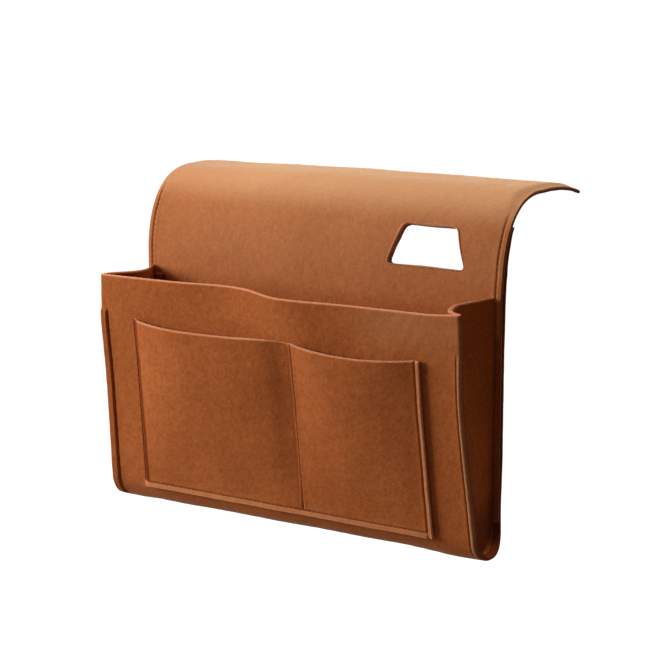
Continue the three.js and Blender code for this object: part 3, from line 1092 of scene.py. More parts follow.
@dataclass
class Seam:
    """A row of stitches: short rounded dashes along a line, each sunk at both ends.

    Attributes:
        stem: The start of the piece's name and of its CAD node's.
        body: The body that it rides on.
        line: Points along the seam.
        above: Points straight above them.
        stitch: Length of a stitch.
        spacing: Distance from stitch to stitch.
        radius: Half of the thread's width.
    """

    stem: str
    body: Body
    line: Array
    above: Array
    stitch: float = 0.0036
    spacing: float = 0.0046
    radius: float = 0.00042
    shares: ClassVar[Array] = np.array([-1.0, -0.93, -0.5, 0.0, 0.5, 0.93, 1.0])
    sizes: ClassVar[Array] = np.array([0.05, 0.6, 1.0, 1.0, 1.0, 0.6, 0.05])
    sinks: ClassVar[Array] = np.array([1.4, 0.8, 0.15, 0.0, 0.15, 0.8, 1.4])

    def mesh(self) -> Mesh:
        """Builds all stitches: rings of six points whose radius follows a half ellipse.

        Returns:
            The stitches as one mesh.
        """
        length = lengths(self.line)
        count = max(1, int((length[-1] - self.stitch) / self.spacing))
        middle = length[-1] / 2 + (np.arange(count) - (count - 1) / 2) * self.spacing
        where = middle[:, None] + self.shares * self.stitch / 2
        normal = self.above - self.line
        at = np.stack([np.interp(where, length, self.line[:, i]) for i in range(3)], -1)
        up = np.stack([np.interp(where, length, normal[:, i]) for i in range(3)], -1)
        up = up / np.linalg.norm(up, axis=-1, keepdims=True)
        ahead = np.gradient(at, axis=1)
        ahead = ahead / np.linalg.norm(ahead, axis=-1, keepdims=True)
        at = at - up * (self.radius * self.sinks)[:, None]
        turn = (np.arange(6) * math.pi / 3)[:, None]
        ring = np.cos(turn) * np.cross(ahead, up)[:, :, None] + np.sin(turn) * up[:, :, None]
        points = at[:, :, None] + (self.radius * self.sizes)[:, None, None] * ring
        base = np.arange(points.size // 3).reshape(points.shape[:3])
        first, last = base[:, 0], base[:, -1]
        faces = [
            quads(np.concatenate([base, base[:, :, :1]], 2)),
            first[:, [3, 2, 1, 0]],
            first[:, [5, 4, 3, 0]],
            last[:, [0, 1, 2, 3]],
            last[:, [0, 3, 4, 5]],
        ]
        points = points.reshape(-1, 3)
        return Mesh(points, np.concatenate(faces), np.zeros(points.shape)).closed_outwards()

    def sew(self, thread: bpy.types.Material) -> bpy.types.Object:
        """Builds the piece, which rides on its body."""
        piece = self.mesh().to_object(f"{self.stem}_stitches", thread)
        return dress(piece, Slot.THREAD, (f"{self.stem}_seam",), self.body)


@dataclass(frozen=True)
class Groove:
    """The dip that a row of stitches pulls into the felt, and the swelling beside it.

    Attributes:
        depth: Depth of the dip.
        width: Width of the dip's bell; the painted shade's bell takes 0.8 of it.
        swell: Height of the swelling.
        swell_width: Width of the swelling's bell.
        shade: How dark the painted shade in the dip is, from 0 to 1.
    """

    depth: float
    width: float
    swell: float
    swell_width: float
    shade: float

    @property
    def floor(self) -> float:
        """Height of the stitches' line over the plain face."""
        return STITCH_LIFT - self.depth

    def relief(self, distance: Array) -> Array:
        """Gives the height beside the stitches: a wide, low bell up less a narrow bell down."""
        down = (self.depth + self.swell) * hump(distance, 0.0, self.width)
        return self.swell * hump(distance, 0.0, self.swell_width) - down

    def painted_shade(self, distance: Array) -> Array:
        """Gives the painted shade that stands in for the dip's shade, a bell over the distance."""
        return self.shade * hump(distance, 0.0, 0.8 * self.width)


@dataclass
class LongSheet(Sheet):
    """Flap, bend and back panel: one long felt sheet with the cable opening in it."""

    section: Section
    finishes: Finishes
    seam_inset: float = 0.0052
    groove: Groove = Groove(0.0006, 0.0010, 0.0004, 0.0030, 0.2)
    seam_top: float = -0.0225
    seam_fade: float = 0.015
    crown: float = 0.0028
    crown_start: float = 0.045
    crown_run: float = 0.050
    crown_right: float = 0.012
    crown_left: float = 0.180
    tip_lift: float = 0.0012
    tip_run: float = 0.040
    tip_reach: float = 0.001
    opening_place: float = 0.105
    opening_top_width: float = 0.050
    opening_foot_width: float = 0.074
    opening_top: float = -0.027
    opening_foot: float = -0.061
    opening_corner: float = 0.005
    patch_half: float = 0.045
    patch_margin: float = 0.008
    # Painted shade on the margins below the rim, which lie in the gussets' shade, and on the flap's rounded
    # sides.
    margin_shade: float = 0.5
    margin_width: float = 0.007
    margin_top: float = -0.104
    edge_shade: float = 0.9
    margin_blur: float = 0.002
    margin_fade: float = 0.016
    edge_width: float = 0.0016
    edge_blur: float = 0.0006
    edge_run: float = 0.020
    # Painted highlight: a paler tan that stands in for light and sheen on the bend and the flap, less on the
    # left.
    low_highlight: float = 0.3
    low_highlight_rise: tuple[float, float] = (-0.120, 0.060)
    full_highlight_rise: tuple[float, float] = (-0.030, 0.026)
    left_highlight: float = 0.75
    left_highlight_run: float = 0.100
    stitch_foot: float = 0.004
    side_painted_shade: float = 0.92
    step: float = 0.0028
    uneven: Unevenness = Unevenness(0.00022, 0.055, 0.00009, 0.014, 11)
    bend_start: tuple[float, float] = (0.0143, -0.0218)
    path: Path = field(init=False)

    def __post_init__(self) -> None:
        """Works out the sheet's path."""
        self.path = self.section.long_path()

    @property
    def seam_end(self) -> float:
        """Distance along the path where the back seams end, on the bend."""
        return self.along_of(self.seam_top)

    @property
    def crest(self) -> float:
        """Distance along the path where the bend ends and the flap lies level."""
        return float(np.interp(self.section.bend_depth, self.path.place[:, 0], self.path.length))

    def along_of(self, z: float) -> float:
        """Gives the distance along the path at a height on the back or the bend."""
        rising = self.path.place[:, 0] < self.section.bend_depth
        return float(np.interp(z, self.path.place[rising, 1], self.path.length[rising]))

    def opening_outline(self, offset: float = 0.0) -> Array:
        """Gives the opening's outline: a trapezoid with its corners replaced by arcs.

        Args:
            offset: How far the outline is moved outwards.

        Returns:
            400 (across, along) points at even steps round the opening.
        """
        top, foot = self.opening_top_width / 2 + offset, self.opening_foot_width / 2 + offset
        low, high = self.along_of(self.opening_foot) - offset, self.along_of(self.opening_top) + offset
        corners = np.array([[-foot, low], [foot, low], [top, high], [-top, high]])
        ends = []
        for shift in (1, -1):
            way = np.roll(corners, shift, 0) - corners
            ends.append((corners + way / np.hypot(*way.T)[:, None] * self.opening_corner)[:, None])
        t = np.linspace(0, 1, 9)[None, :, None]
        arcs = ends[0] * (1 - t) ** 2 + 2 * corners[:, None] * t * (1 - t) + ends[1] * t**2
        closed = np.vstack([arcs.reshape(-1, 2), arcs[0, :1]])
        length = lengths(closed)
        even = np.linspace(0, length[-1], 400, endpoint=False)
        outline = np.stack([np.interp(even, length, closed[:, i]) for i in range(2)], 1)
        return outline + np.array([self.opening_place, 0.0])

    def from_seam(self, x: Array) -> Array:
        """Gives the distance from the nearer back seam."""
        return np.abs(np.abs(x) - (self.section.half - self.seam_inset))

    def sewn(self, along: Array) -> Array:
        """Gives 1 along the seams, fading out past their end on the bend."""
        return falls(along, self.seam_end + self.seam_fade, self.seam_fade)

    def painted_shade(self, x: Array, along: Array) -> Array:
        """Gives the painted shade of the seam grooves, the margins below the rim and the flap's rounded
        sides.

        Args:
            x: Place across.
            along: Distance along the path.

        Returns:
            The shade.
        """
        inside = self.section.half - np.abs(x)
        below = falls(along, self.along_of(self.margin_top), self.margin_fade)
        margin = self.margin_shade * falls(inside, self.margin_width, self.margin_blur) * below
        flap = rises(along, self.crest - self.edge_run, self.edge_run)
        edge = self.edge_shade * falls(inside, self.edge_width, self.edge_blur) * flap
        return np.maximum.reduce([self.groove.painted_shade(self.from_seam(x)) * self.sewn(along), margin, edge])

    def side_shade(self, along: Array) -> Array:
        """Gives the even painted shade of the sheet's sides."""
        return np.full(along.shape, self.side_painted_shade)

    def crowned(self, x: Array, along: Array) -> Array:
        """Gives how the flap stands up inside its ends, quickly on the right and slowly on the left.

        Its tip stands up a little too, so that it droops less than the path.

        Args:
            x: Place across.
            along: Distance along the path.

        Returns:
            The height over the path.
        """
        half = self.section.half
        across = falls(x, half, self.crown_right) * rises(x, -half, self.crown_left)
        start = self.along_of(-self.section.bend_height) + self.crown_start
        tip = self.tip_lift * rises(along, self.path.end - self.tip_run, self.tip_run)
        return self.crown * across * rises(along, start, self.crown_run) + tip

    def surface(self, x: Array, along: Array, share: Array) -> Array:
        """Gives points of the sheet: on its path, below the outer face by the share of the felt.

        Args:
            x: Place across.
            along: Distance along the path.
            share: Share of the thickness from the outer face.

        Returns:
            The points.
        """
        relief = self.groove.relief(self.from_seam(x)) * self.sewn(along)
        raised = relief * (1 - share) - share * self.section.felt
        y, z = self.path.at(along, raised + self.uneven.at(x, along) + self.crowned(x, along))
        return self.section.placed(x + self.section.spread(x, y, z), y, z)

    def painted_highlight(self, x: Array, along: Array) -> Array:
        """Gives the painted highlight: a little on the bend, fully from the crest, less on the left.

        Args:
            x: Place across.
            along: Distance along the path.

        Returns:
            The share, two S curves over the height times one across.
        """
        # The share of painted highlight, which rises with the height and is full on the flap.
        height = np.interp(along, self.path.length, self.path.place[:, 1])
        full = np.minimum(rises(height, *self.full_highlight_rise) + (along > self.crest), 1.0)
        nap = self.low_highlight * rises(height, *self.low_highlight_rise) + (1 - self.low_highlight) * full
        right = rises(x, -self.section.half, self.left_highlight_run)
        return nap * (self.left_highlight + (1 - self.left_highlight) * right)

    def build(self) -> bpy.types.Object:
        """Builds the sheet, which runs over the bend from the pocket's back to the flap.

        Returns:
            The piece.
        """
        section = self.section
        seam, end = section.half - self.seam_inset, self.path.end + self.tip_reach
        low = (self.opening_place - self.patch_half, self.along_of(self.opening_foot) - self.patch_margin)
        high = (self.opening_place + self.patch_half, self.along_of(self.opening_top) + self.patch_margin)
        across = with_patch(stations(-section.half, section.half, self.step, (-seam, seam)), low[0], high[0])
        along = with_patch(stations(0.0, end, self.step), low[1], high[1])
        shell = FeltShell(self, across, along, section.felt, Hole(self.opening_outline(), low, high))
        piece = shell.build().to_object("long_felt_sheet", self.finishes.outer)
        dress(piece, Slot.OUTER, ("flap_panel", "flap_bend", "back_panel"))
        start, finish = section.point(*self.bend_start), section.point(section.bend_depth, 0.0)
        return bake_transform(piece)

    def seam(self, side: Side) -> bpy.types.Object:
        """Builds the stitches that join the two sheets of the back near one edge.

        Args:
            side: The side that the seam is on.

        Returns:
            The piece.
        """
        along = np.linspace(self.stitch_foot, self.seam_end, 240)
        x = np.full(along.shape, side.value * (self.section.half - self.seam_inset))
        line, above = (
            self.section.placed(x, *self.path.at(along, np.full(along.shape, height)))
            for height in (self.groove.floor, self.groove.floor + THREAD_NORMAL_STEP)
        )
        return Seam(f"{side.word}_back", Body.BACK, line, above).sew(self.finishes.thread)


@dataclass
class WrapSheet(Sheet):
    """Rear panel, bottom and front panel: one felt sheet that goes round the bottom."""

    section: Section
    front: FrontShape
    finishes: Finishes
    long_sheet: LongSheet
    left_seam_inset: float = 0.0072
    right_seam_inset: float = 0.0039
    groove: Groove = Groove(0.0010, 0.0007, 0.0004, 0.0030, 0.3)
    left_groove_shade: float = 2.6
    ridge: float = 0.0013
    ridge_highlight: float = 0.7
    left_ridge_shade: float = 0.35
    rim_highlight: float = 0.25
    left_seam_drop: float = 0.030
    right_seam_drop: float = 0.0335
    seam_foot: float = -0.026
    seam_top_fade: float = 0.0035
    seam_foot_fade: float = 0.010
    stitch_foot: float = -0.016
    stitch_gap: float = 0.004
    ridge_blur: float = 0.0008
    ridge_fall: tuple[float, float] = (-0.0002, 0.0012)
    ridge_highlight_fall: tuple[float, float] = (-0.0003, 0.0006)
    rim_highlight_across: tuple[float, float] = (0.060, 0.050)
    rim_highlight_rise: tuple[float, float] = (-0.050, 0.040)
    corner_radius: float = 0.0026
    ridge_radius: float = 0.0016
    turned_shade: float = 0.45
    turned_width: float = 0.0014
    turned_run: float = 0.020
    slack: float = 0.0014
    slack_run: float = 0.060
    bend_slack: float = 0.0009
    top_thinning: float = 0.0020
    thinning_run: float = 0.020
    bend_slack_place: tuple[float, float] = (0.075, 0.030)
    bow_run: float = 0.020
    bottom_lift: float = 0.0009
    lift_inset: float = 0.016
    lift_fade: float = 0.020
    lift_right: tuple[float, float] = (0.130, 0.050)
    lift_height: tuple[float, float] = (-0.033, 0.016)
    bottom_bulge: float = 0.0010
    bulge_across: tuple[float, float] = (0.152, 0.022)
    bulge_height: tuple[float, float] = (-0.022, 0.018)
    fold_depths: tuple[float, float] = (-0.005, -0.035)
    # Painted shade of the sides: darker on the rear and the bottom than along the front.
    rear_shade: float = 0.92
    front_shade: float = 0.60
    front_shade_rise: tuple[float, float] = (-0.020, 0.030)
    step: float = 0.0026
    fine_reach: float = 0.0042
    uneven: Unevenness = Unevenness(0.0003, 0.060, 0.0001, 0.015, 21)
    flat_width: float = 0.014
    opening_clearance: float = 0.0004
    margin: ClassVar[float] = 0.007
    path: Path = field(init=False)

    def __post_init__(self) -> None:
        """Works out the sheet's path."""
        self.path = self.section.wrap_path()

    @property
    def foot(self) -> float:
        """Distance along the path where the front panel begins."""
        return self.path.end - self.section.front_length

    @property
    def turn_length(self) -> float:
        """Length of the bottom turn."""
        return (2 * math.pi - self.section.tangent) * self.section.turn_radius

    def sewn(self, x: Array, height: Array) -> Array:
        """Gives 1 along the corner seams, from below the rim to the bottom turn."""
        top = self.section.front_length - np.where(x < 0, self.left_seam_drop, self.right_seam_drop)
        return falls(height, top, self.seam_top_fade) * rises(height, self.seam_foot, self.seam_foot_fade)

    def seam_inset(self, x: Array) -> Array:
        """Gives the distance of the corner seam from the edge on the side of x."""
        return np.where(x < 0, self.left_seam_inset, self.right_seam_inset)

    def from_seam(self, x: Array) -> Array:
        """Gives the distance inwards from the corner seam; it is negative on the ridge outside it."""
        return self.section.half - np.abs(x) - self.seam_inset(x)

    def turned(self, height: Array) -> Array:
        """Gives 1 on the front and the bottom turn, where the sides are folded down softly."""
        return rises(height, -self.turn_length, self.turned_run)

    def painted_shade(self, x: Array, along: Array) -> Array:
        """Gives the painted shade of the corner grooves, the sides' outer slope and the left ridge.

        Args:
            x: Place across.
            along: Distance along the path.

        Returns:
            The shade.
        """
        height, inside = along - self.foot, self.from_seam(x)
        slope = falls(self.section.half - np.abs(x), self.turned_width, self.turned_width)
        groove = np.where(x < 0, self.left_groove_shade, 1.0) * self.groove.painted_shade(inside)
        ridge = self.left_ridge_shade * (x < 0) * falls(inside, 0.0, self.ridge_blur)
        folded = self.turned_shade * slope * self.turned(height)
        return np.maximum(np.maximum(groove, ridge) * self.sewn(x, height), folded)

    def side_shade(self, along: Array) -> Array:
        """Gives the painted shade of the sheet's sides, which is less dark along the front panel."""
        front = rises(along - self.foot, *self.front_shade_rise)
        return self.rear_shade - (self.rear_shade - self.front_shade) * front

    def painted_highlight(self, x: Array, along: Array) -> Array:
        """Gives the painted highlight: on the lit ridge outside the right corner seam, and under the rim.

        Args:
            x: Place across.
            along: Distance along the path.

        Returns:
            The share.
        """
        ridge = self.ridge_highlight * (x > 0) * falls(self.from_seam(x), *self.ridge_highlight_fall)
        rim = rises(x, *self.rim_highlight_across) * rises(along - self.path.end, *self.rim_highlight_rise)
        return ridge * self.sewn(x, along - self.foot) + self.rim_highlight * rim

    def bottom(self, x: Array, height: Array) -> Array:
        """Gives how the bottom turn lies a little higher in the middle and bulges near the right corner.

        Args:
            x: Place across.
            height: Distance above the foot of the front panel, negative on the bottom turn.

        Returns:
            The height over the plain turn.
        """
        inner = falls(np.abs(x), self.section.half - self.lift_inset, self.lift_fade)
        lift = self.bottom_lift * inner * falls(x, *self.lift_right) * hump(height, *self.lift_height)
        return self.bottom_bulge * hump(x, *self.bulge_across) * hump(height, *self.bulge_height) - lift

    def relief(self, x: Array, height: Array) -> Array:
        """Gives the outer face of the front: pinched corners, and soft folds down to the sides.

        Args:
            x: Place across, before the flare.
            height: Distance above the foot of the front panel; below it is negative.

        Returns:
            The height over the plain face.
        """
        inside = self.from_seam(x)
        sewn = self.sewn(x, height)
        pinched = (self.groove.relief(inside) + self.ridge * falls(inside, *self.ridge_fall)) * sewn
        radius = self.corner_radius + (self.ridge_radius - self.corner_radius) * sewn
        near = np.clip(radius - (self.section.half - np.abs(x)), 0, radius)
        return pinched - (radius - np.sqrt(radius**2 - near**2)) * self.turned(height)

    def surface(self, x: Array, along: Array, share: Array) -> Array:
        """Gives points of the sheet: the front by its own shape, the rest on the path.

        The rear stretch stands off by its slack, which fades into the bottom turn, with a bell more
        at the bend, and its upper end is pressed thinner from outside.

        Args:
            x: Place across.
            along: Distance along the path.
            share: Share of the thickness from the outer face.

        Returns:
            The points.
        """
        section, height = self.section, along - self.foot
        loose = self.slack * falls(along, self.foot - self.turn_length, self.slack_run)
        loose = loose + self.bend_slack * hump(along, *self.bend_slack_place) + self.bottom(x, height)
        thinned = self.top_thinning * falls(along, self.thinning_run, self.thinning_run)
        raised = (self.relief(x, height) - thinned) * (1 - share) - share * section.felt
        bow = self.front.bow(x, height) * rises(height, -self.bow_run, self.bow_run)
        quarter = math.pi / 2 * section.turn_radius
        lowered = along - self.front.fall(x, height)
        y, z = self.path.at(lowered, raised + self.uneven.at(x, along) + loose + bow)
        wider = self.front.widened(x, height) * rises(height, -2 * quarter, quarter)
        return section.placed(x + wider + section.spread(x, y, z), y, z)

    def mirrored(self, along: Array) -> Array:
        """Gives the place behind a point of the long sheet, measured down this sheet's own path.

        Args:
            along: Distance along the long sheet.

        Returns:
            Distance along this sheet: at the nearest point of the bend, or straight down below it.
        """
        last = self.section.bend_points - 1
        bend = self.path.place[: last + 1]
        y, z = self.long_sheet.path.at(along, np.full(along.shape, -self.section.rear_depth))
        distance = np.hypot(y[:, None] - bend[:, 0], z[:, None] - bend[:, 1])
        on_bend = self.path.length[np.argmin(distance, axis=1)]
        return np.where(z < bend[last, 1], self.path.length[last] + bend[last, 1] - z, on_bend)

    def build(self) -> bpy.types.Object:
        """Builds the sheet, which runs round the bottom from the pocket's back to its front.

        Returns:
            The piece.
        """
        section, opening = self.section, self.long_sheet
        marks = (self.left_seam_inset - section.half, section.half - self.right_seam_inset)
        outline = opening.opening_outline(self.opening_clearance)
        outline = np.stack([outline[:, 0], self.mirrored(outline[:, 1])], 1)
        place, half, margin = opening.opening_place, opening.patch_half, opening.patch_margin
        low = (place - half, float(outline[:, 1].min()) - margin / 2)
        high = (place + half, float(outline[:, 1].max()) + margin)
        across = stations(-section.half, section.half, self.step, marks, self.fine_reach)
        along = stations(0.0, self.path.end, self.step)
        across, along = with_patch(across, low[0], high[0]), with_patch(along, low[1], high[1])
        shell = FeltShell(self, across, along, section.felt, Hole(outline, low, high))
        piece = shell.build().to_object("wrap_felt_sheet", self.finishes.outer)
        dress(piece, Slot.OUTER, ("rear_panel", "front_panel"))
        start, finish = (section.point(y, 0) for y in self.fold_depths)
        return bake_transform(piece)

    def seam(self, side: Side) -> bpy.types.Object:
        """Builds the stitches of one pinched corner, from below the rim to the bottom turn.

        Args:
            side: The side that the seam is on.

        Returns:
            The piece.
        """
        drop = self.left_seam_drop if side is Side.LEFT else self.right_seam_drop
        top = self.section.front_length - drop - self.stitch_gap
        height = np.linspace(self.stitch_foot, top, 200)
        edge = np.full(height.shape, side.value * self.section.half)
        x = edge - side.value * self.seam_inset(edge)
        line, above = (
            self.front.surface(self.path, x, height, np.full(height.shape, raised))
            for raised in (self.groove.floor, self.groove.floor + THREAD_NORMAL_STEP)
        )
        return Seam(f"{side.word}_corner", Body.FRONT, line, above).sew(self.finishes.thread)


@dataclass(frozen=True)
class Draw:
    """How far a gusset is drawn in between its two folds.

    Attributes:
        depth: Full depth.
        start: Share of the wall over which it is drawn in.
        sharpness: Power of the start.
        back: Power of the way back.
    """

    depth: float
    start: float
    sharpness: float
    back: float

    def at(self, wall: Array) -> Array:
        """Gives the draw: 1 less a power of the share, times 1 less a falling exponential of it."""
        return self.depth * (1 - wall**self.back) * (1 - np.exp(-((wall / self.start) ** self.sharpness)))


@dataclass
class Gusset(Sheet):
    """A wedge-shaped side wall with a flange behind the front's edge and one on the back panel."""

    section: Section
    front: FrontShape
    finishes: Finishes
    side: Side
    inset: float = 0.0055
    corner_inset: float = 0.0012
    seam_drop: float = 0.033
    pinch_reach: float = 0.012
    flange: float = 0.010
    stretch: float = 0.020
    draw_height: float = 0.120
    flare_angle: float = math.radians(130)
    heel_angle: float = math.radians(72)
    heel_drop: float = 0.009
    rim_rise: float = 0.0034
    flange_drop: float = 0.007
    rim_run: float = 0.030
    dark: float = 0.9
    foot_run: float = 0.036
    flange_shade_over: float = 0.001
    flange_shade_fade: float = 0.003
    flange_shade_run: float = 0.004
    rim_rise_share: float = 0.35
    flange_drop_share: float = 0.3
    wall_steps: int = 44
    wall_crowding: float = 1.25
    fold_depths: tuple[float, float] = (-0.001, -0.062)
    stitch_gap: float = 0.004
    step: float = 0.0028
    blank_width: float = 0.080
    blank_share: float = 0.8

    @property
    def draw(self) -> Draw:
        """The draw of this side, quick on the right and slower on the left."""
        right = self.side is Side.RIGHT
        return Draw(0.0150, 0.07, 1.0, 1.5) if right else Draw(0.0170, 0.35, 2.0, 2.5)

    @property
    def face(self) -> float:
        """Distance of the wall's outer face from the middle of the caddy."""
        return self.section.half - self.inset

    def rows(self, along: Array) -> tuple[Array, Array, Array, Array]:
        """Gives where each row of the gusset starts at the front sheet and ends at the back panel.

        Down the front panel at even steps, then round the bottom turn by its angle.

        Args:
            along: Distance from the rim down the front sheet.

        Returns:
            y and z on the front sheet's inner face, the flare there, and z on the back panel.
        """
        section, length = self.section, self.section.front_length
        height = length - along
        angle = np.maximum(-height, 0) / section.turn_radius
        rim = (-section.rim_depth, -section.rim_drop)
        normal = np.cos(section.tangent + angle), np.sin(section.tangent + angle)
        places = []
        for low, high, centre, away in zip(section.front_foot, rim, section.turn_centre, normal):
            straight = low + (high - low) / length * height
            turned = centre + section.turn_radius * away
            places.append(np.where(height >= 0, straight, turned) - away * (section.felt + section.gap))
        edge = np.full(np.shape(along), self.side.value * section.half)
        fade = falls(angle, self.flare_angle, self.flare_angle)
        flare = self.side.value * self.front.widened(edge, height) * fade
        fallen = (section.turn_drop - section.rim_drop) * np.clip(along / length, 0, 1)
        heel = self.heel_drop * np.clip(angle / self.heel_angle, 0, 1)
        return *places, flare, -(section.rim_drop + fallen + heel)

    def surface(self, across: Array, along: Array, share: Array) -> Array:
        """Gives points of the gusset.

        The cross-section has three stretches of 20 mm in the first coordinate: the front flange,
        the wall and the back flange. The wall starts close to the soft corner above the corner
        seam, and at the seam below it.

        Args:
            across: Place over the three stretches.
            along: Distance from the rim down the front sheet.
            share: Share of the thickness from the outer face.

        Returns:
            The points.
        """
        section, felt = self.section, self.section.felt
        place = np.clip(across / self.stretch, 0, 3)
        front_y, front_z, flare, back = self.rows(along)
        wall = np.clip(place - 1, 0, 1)
        start_y = front_y + felt * (1 - share) * math.cos(section.tangent - math.pi)
        end_y = -(section.gap + felt * share)
        pinched = rises(along, self.seam_drop - self.pinch_reach, 2 * self.pinch_reach)
        start_x = section.half - self.corner_inset - (self.inset - self.corner_inset) * pinched
        wall_x = start_x + (self.face - start_x) * wall - felt * share + flare * (1 - wall)
        near_rim = falls(along, self.rim_run, self.rim_run)
        rise = self.rim_rise * (self.side is Side.RIGHT) * rises(wall, 0.0, self.rim_rise_share)
        z = front_z + (back - front_z) * wall
        z = z + near_rim * (rise - self.flange_drop * rises(place, 2.0, self.flange_drop_share))
        x = wall_x - self.draw.at(wall) * falls(-section.rim_drop - z, self.draw_height, self.draw_height)
        x = x + np.clip(1 - place, 0, 1) * (section.half - self.corner_inset + flare - wall_x)
        x = x - np.clip(place - 2, 0, 1) * (self.flange + felt * (1 - share))
        return section.placed(self.side.value * x, start_y + (end_y - start_y) * wall, z)

    def painted_shade(self, across: Array, along: Array) -> Array:
        """Gives the painted shade of the front flange, whose edge lies in the corner, and of the narrow foot.

        Args:
            across: Place over the three stretches.
            along: Distance from the rim down the front sheet.

        Returns:
            The shade.
        """
        flange = falls(across, self.stretch + self.flange_shade_over, self.flange_shade_fade)
        flange = flange * rises(along, 0.0, self.flange_shade_run)
        foot = rises(along, self.section.front_length - self.foot_run, self.foot_run)
        return self.dark * np.maximum(flange, foot)

    def side_shade(self, along: Array) -> Array:
        """Gives the even painted shade of the gusset's two upright edges."""
        return np.full(along.shape, self.dark)

    def build(self) -> bpy.types.Object:
        """Builds the gusset, which runs between the pocket's back and its front.

        Returns:
            The piece.
        """
        section = self.section
        wall = np.linspace(0, 1, self.wall_steps) ** self.wall_crowding
        place = np.concatenate([np.linspace(0, 1, 6)[:-1], 1 + wall[:-1], np.linspace(2, 3, 9)])
        end = section.front_length + self.heel_angle * section.turn_radius
        shell = FeltShell(self, place * self.stretch, stations(0.0, end, self.step), section.felt)
        piece = shell.build().to_object(f"{self.side.word}_gusset_wall", self.finishes.inner)
        dress(piece, Slot.INNER, (f"{self.side.word}_gusset",))
        start, finish = (section.point(y, 0) for y in self.fold_depths)
        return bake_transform(piece)

    def seam(self) -> bpy.types.Object:
        """Builds the stitches of the back flange, inside the main pocket.

        Returns:
            The piece.
        """
        section = self.section
        z = np.linspace(-section.turn_drop + self.stitch_gap, -section.rim_drop - self.stitch_gap, 60)
        x = np.full(z.shape, self.side.value * (self.face - section.felt - self.flange / 2))
        y = np.full(z.shape, -(2 * section.gap + section.felt + STITCH_LIFT))
        line, above = section.placed(x, y, z), section.placed(x, y - THREAD_NORMAL_STEP, z)
        return Seam(f"{self.side.word}_gusset", Body.BACK, line, above).sew(self.finishes.thread)


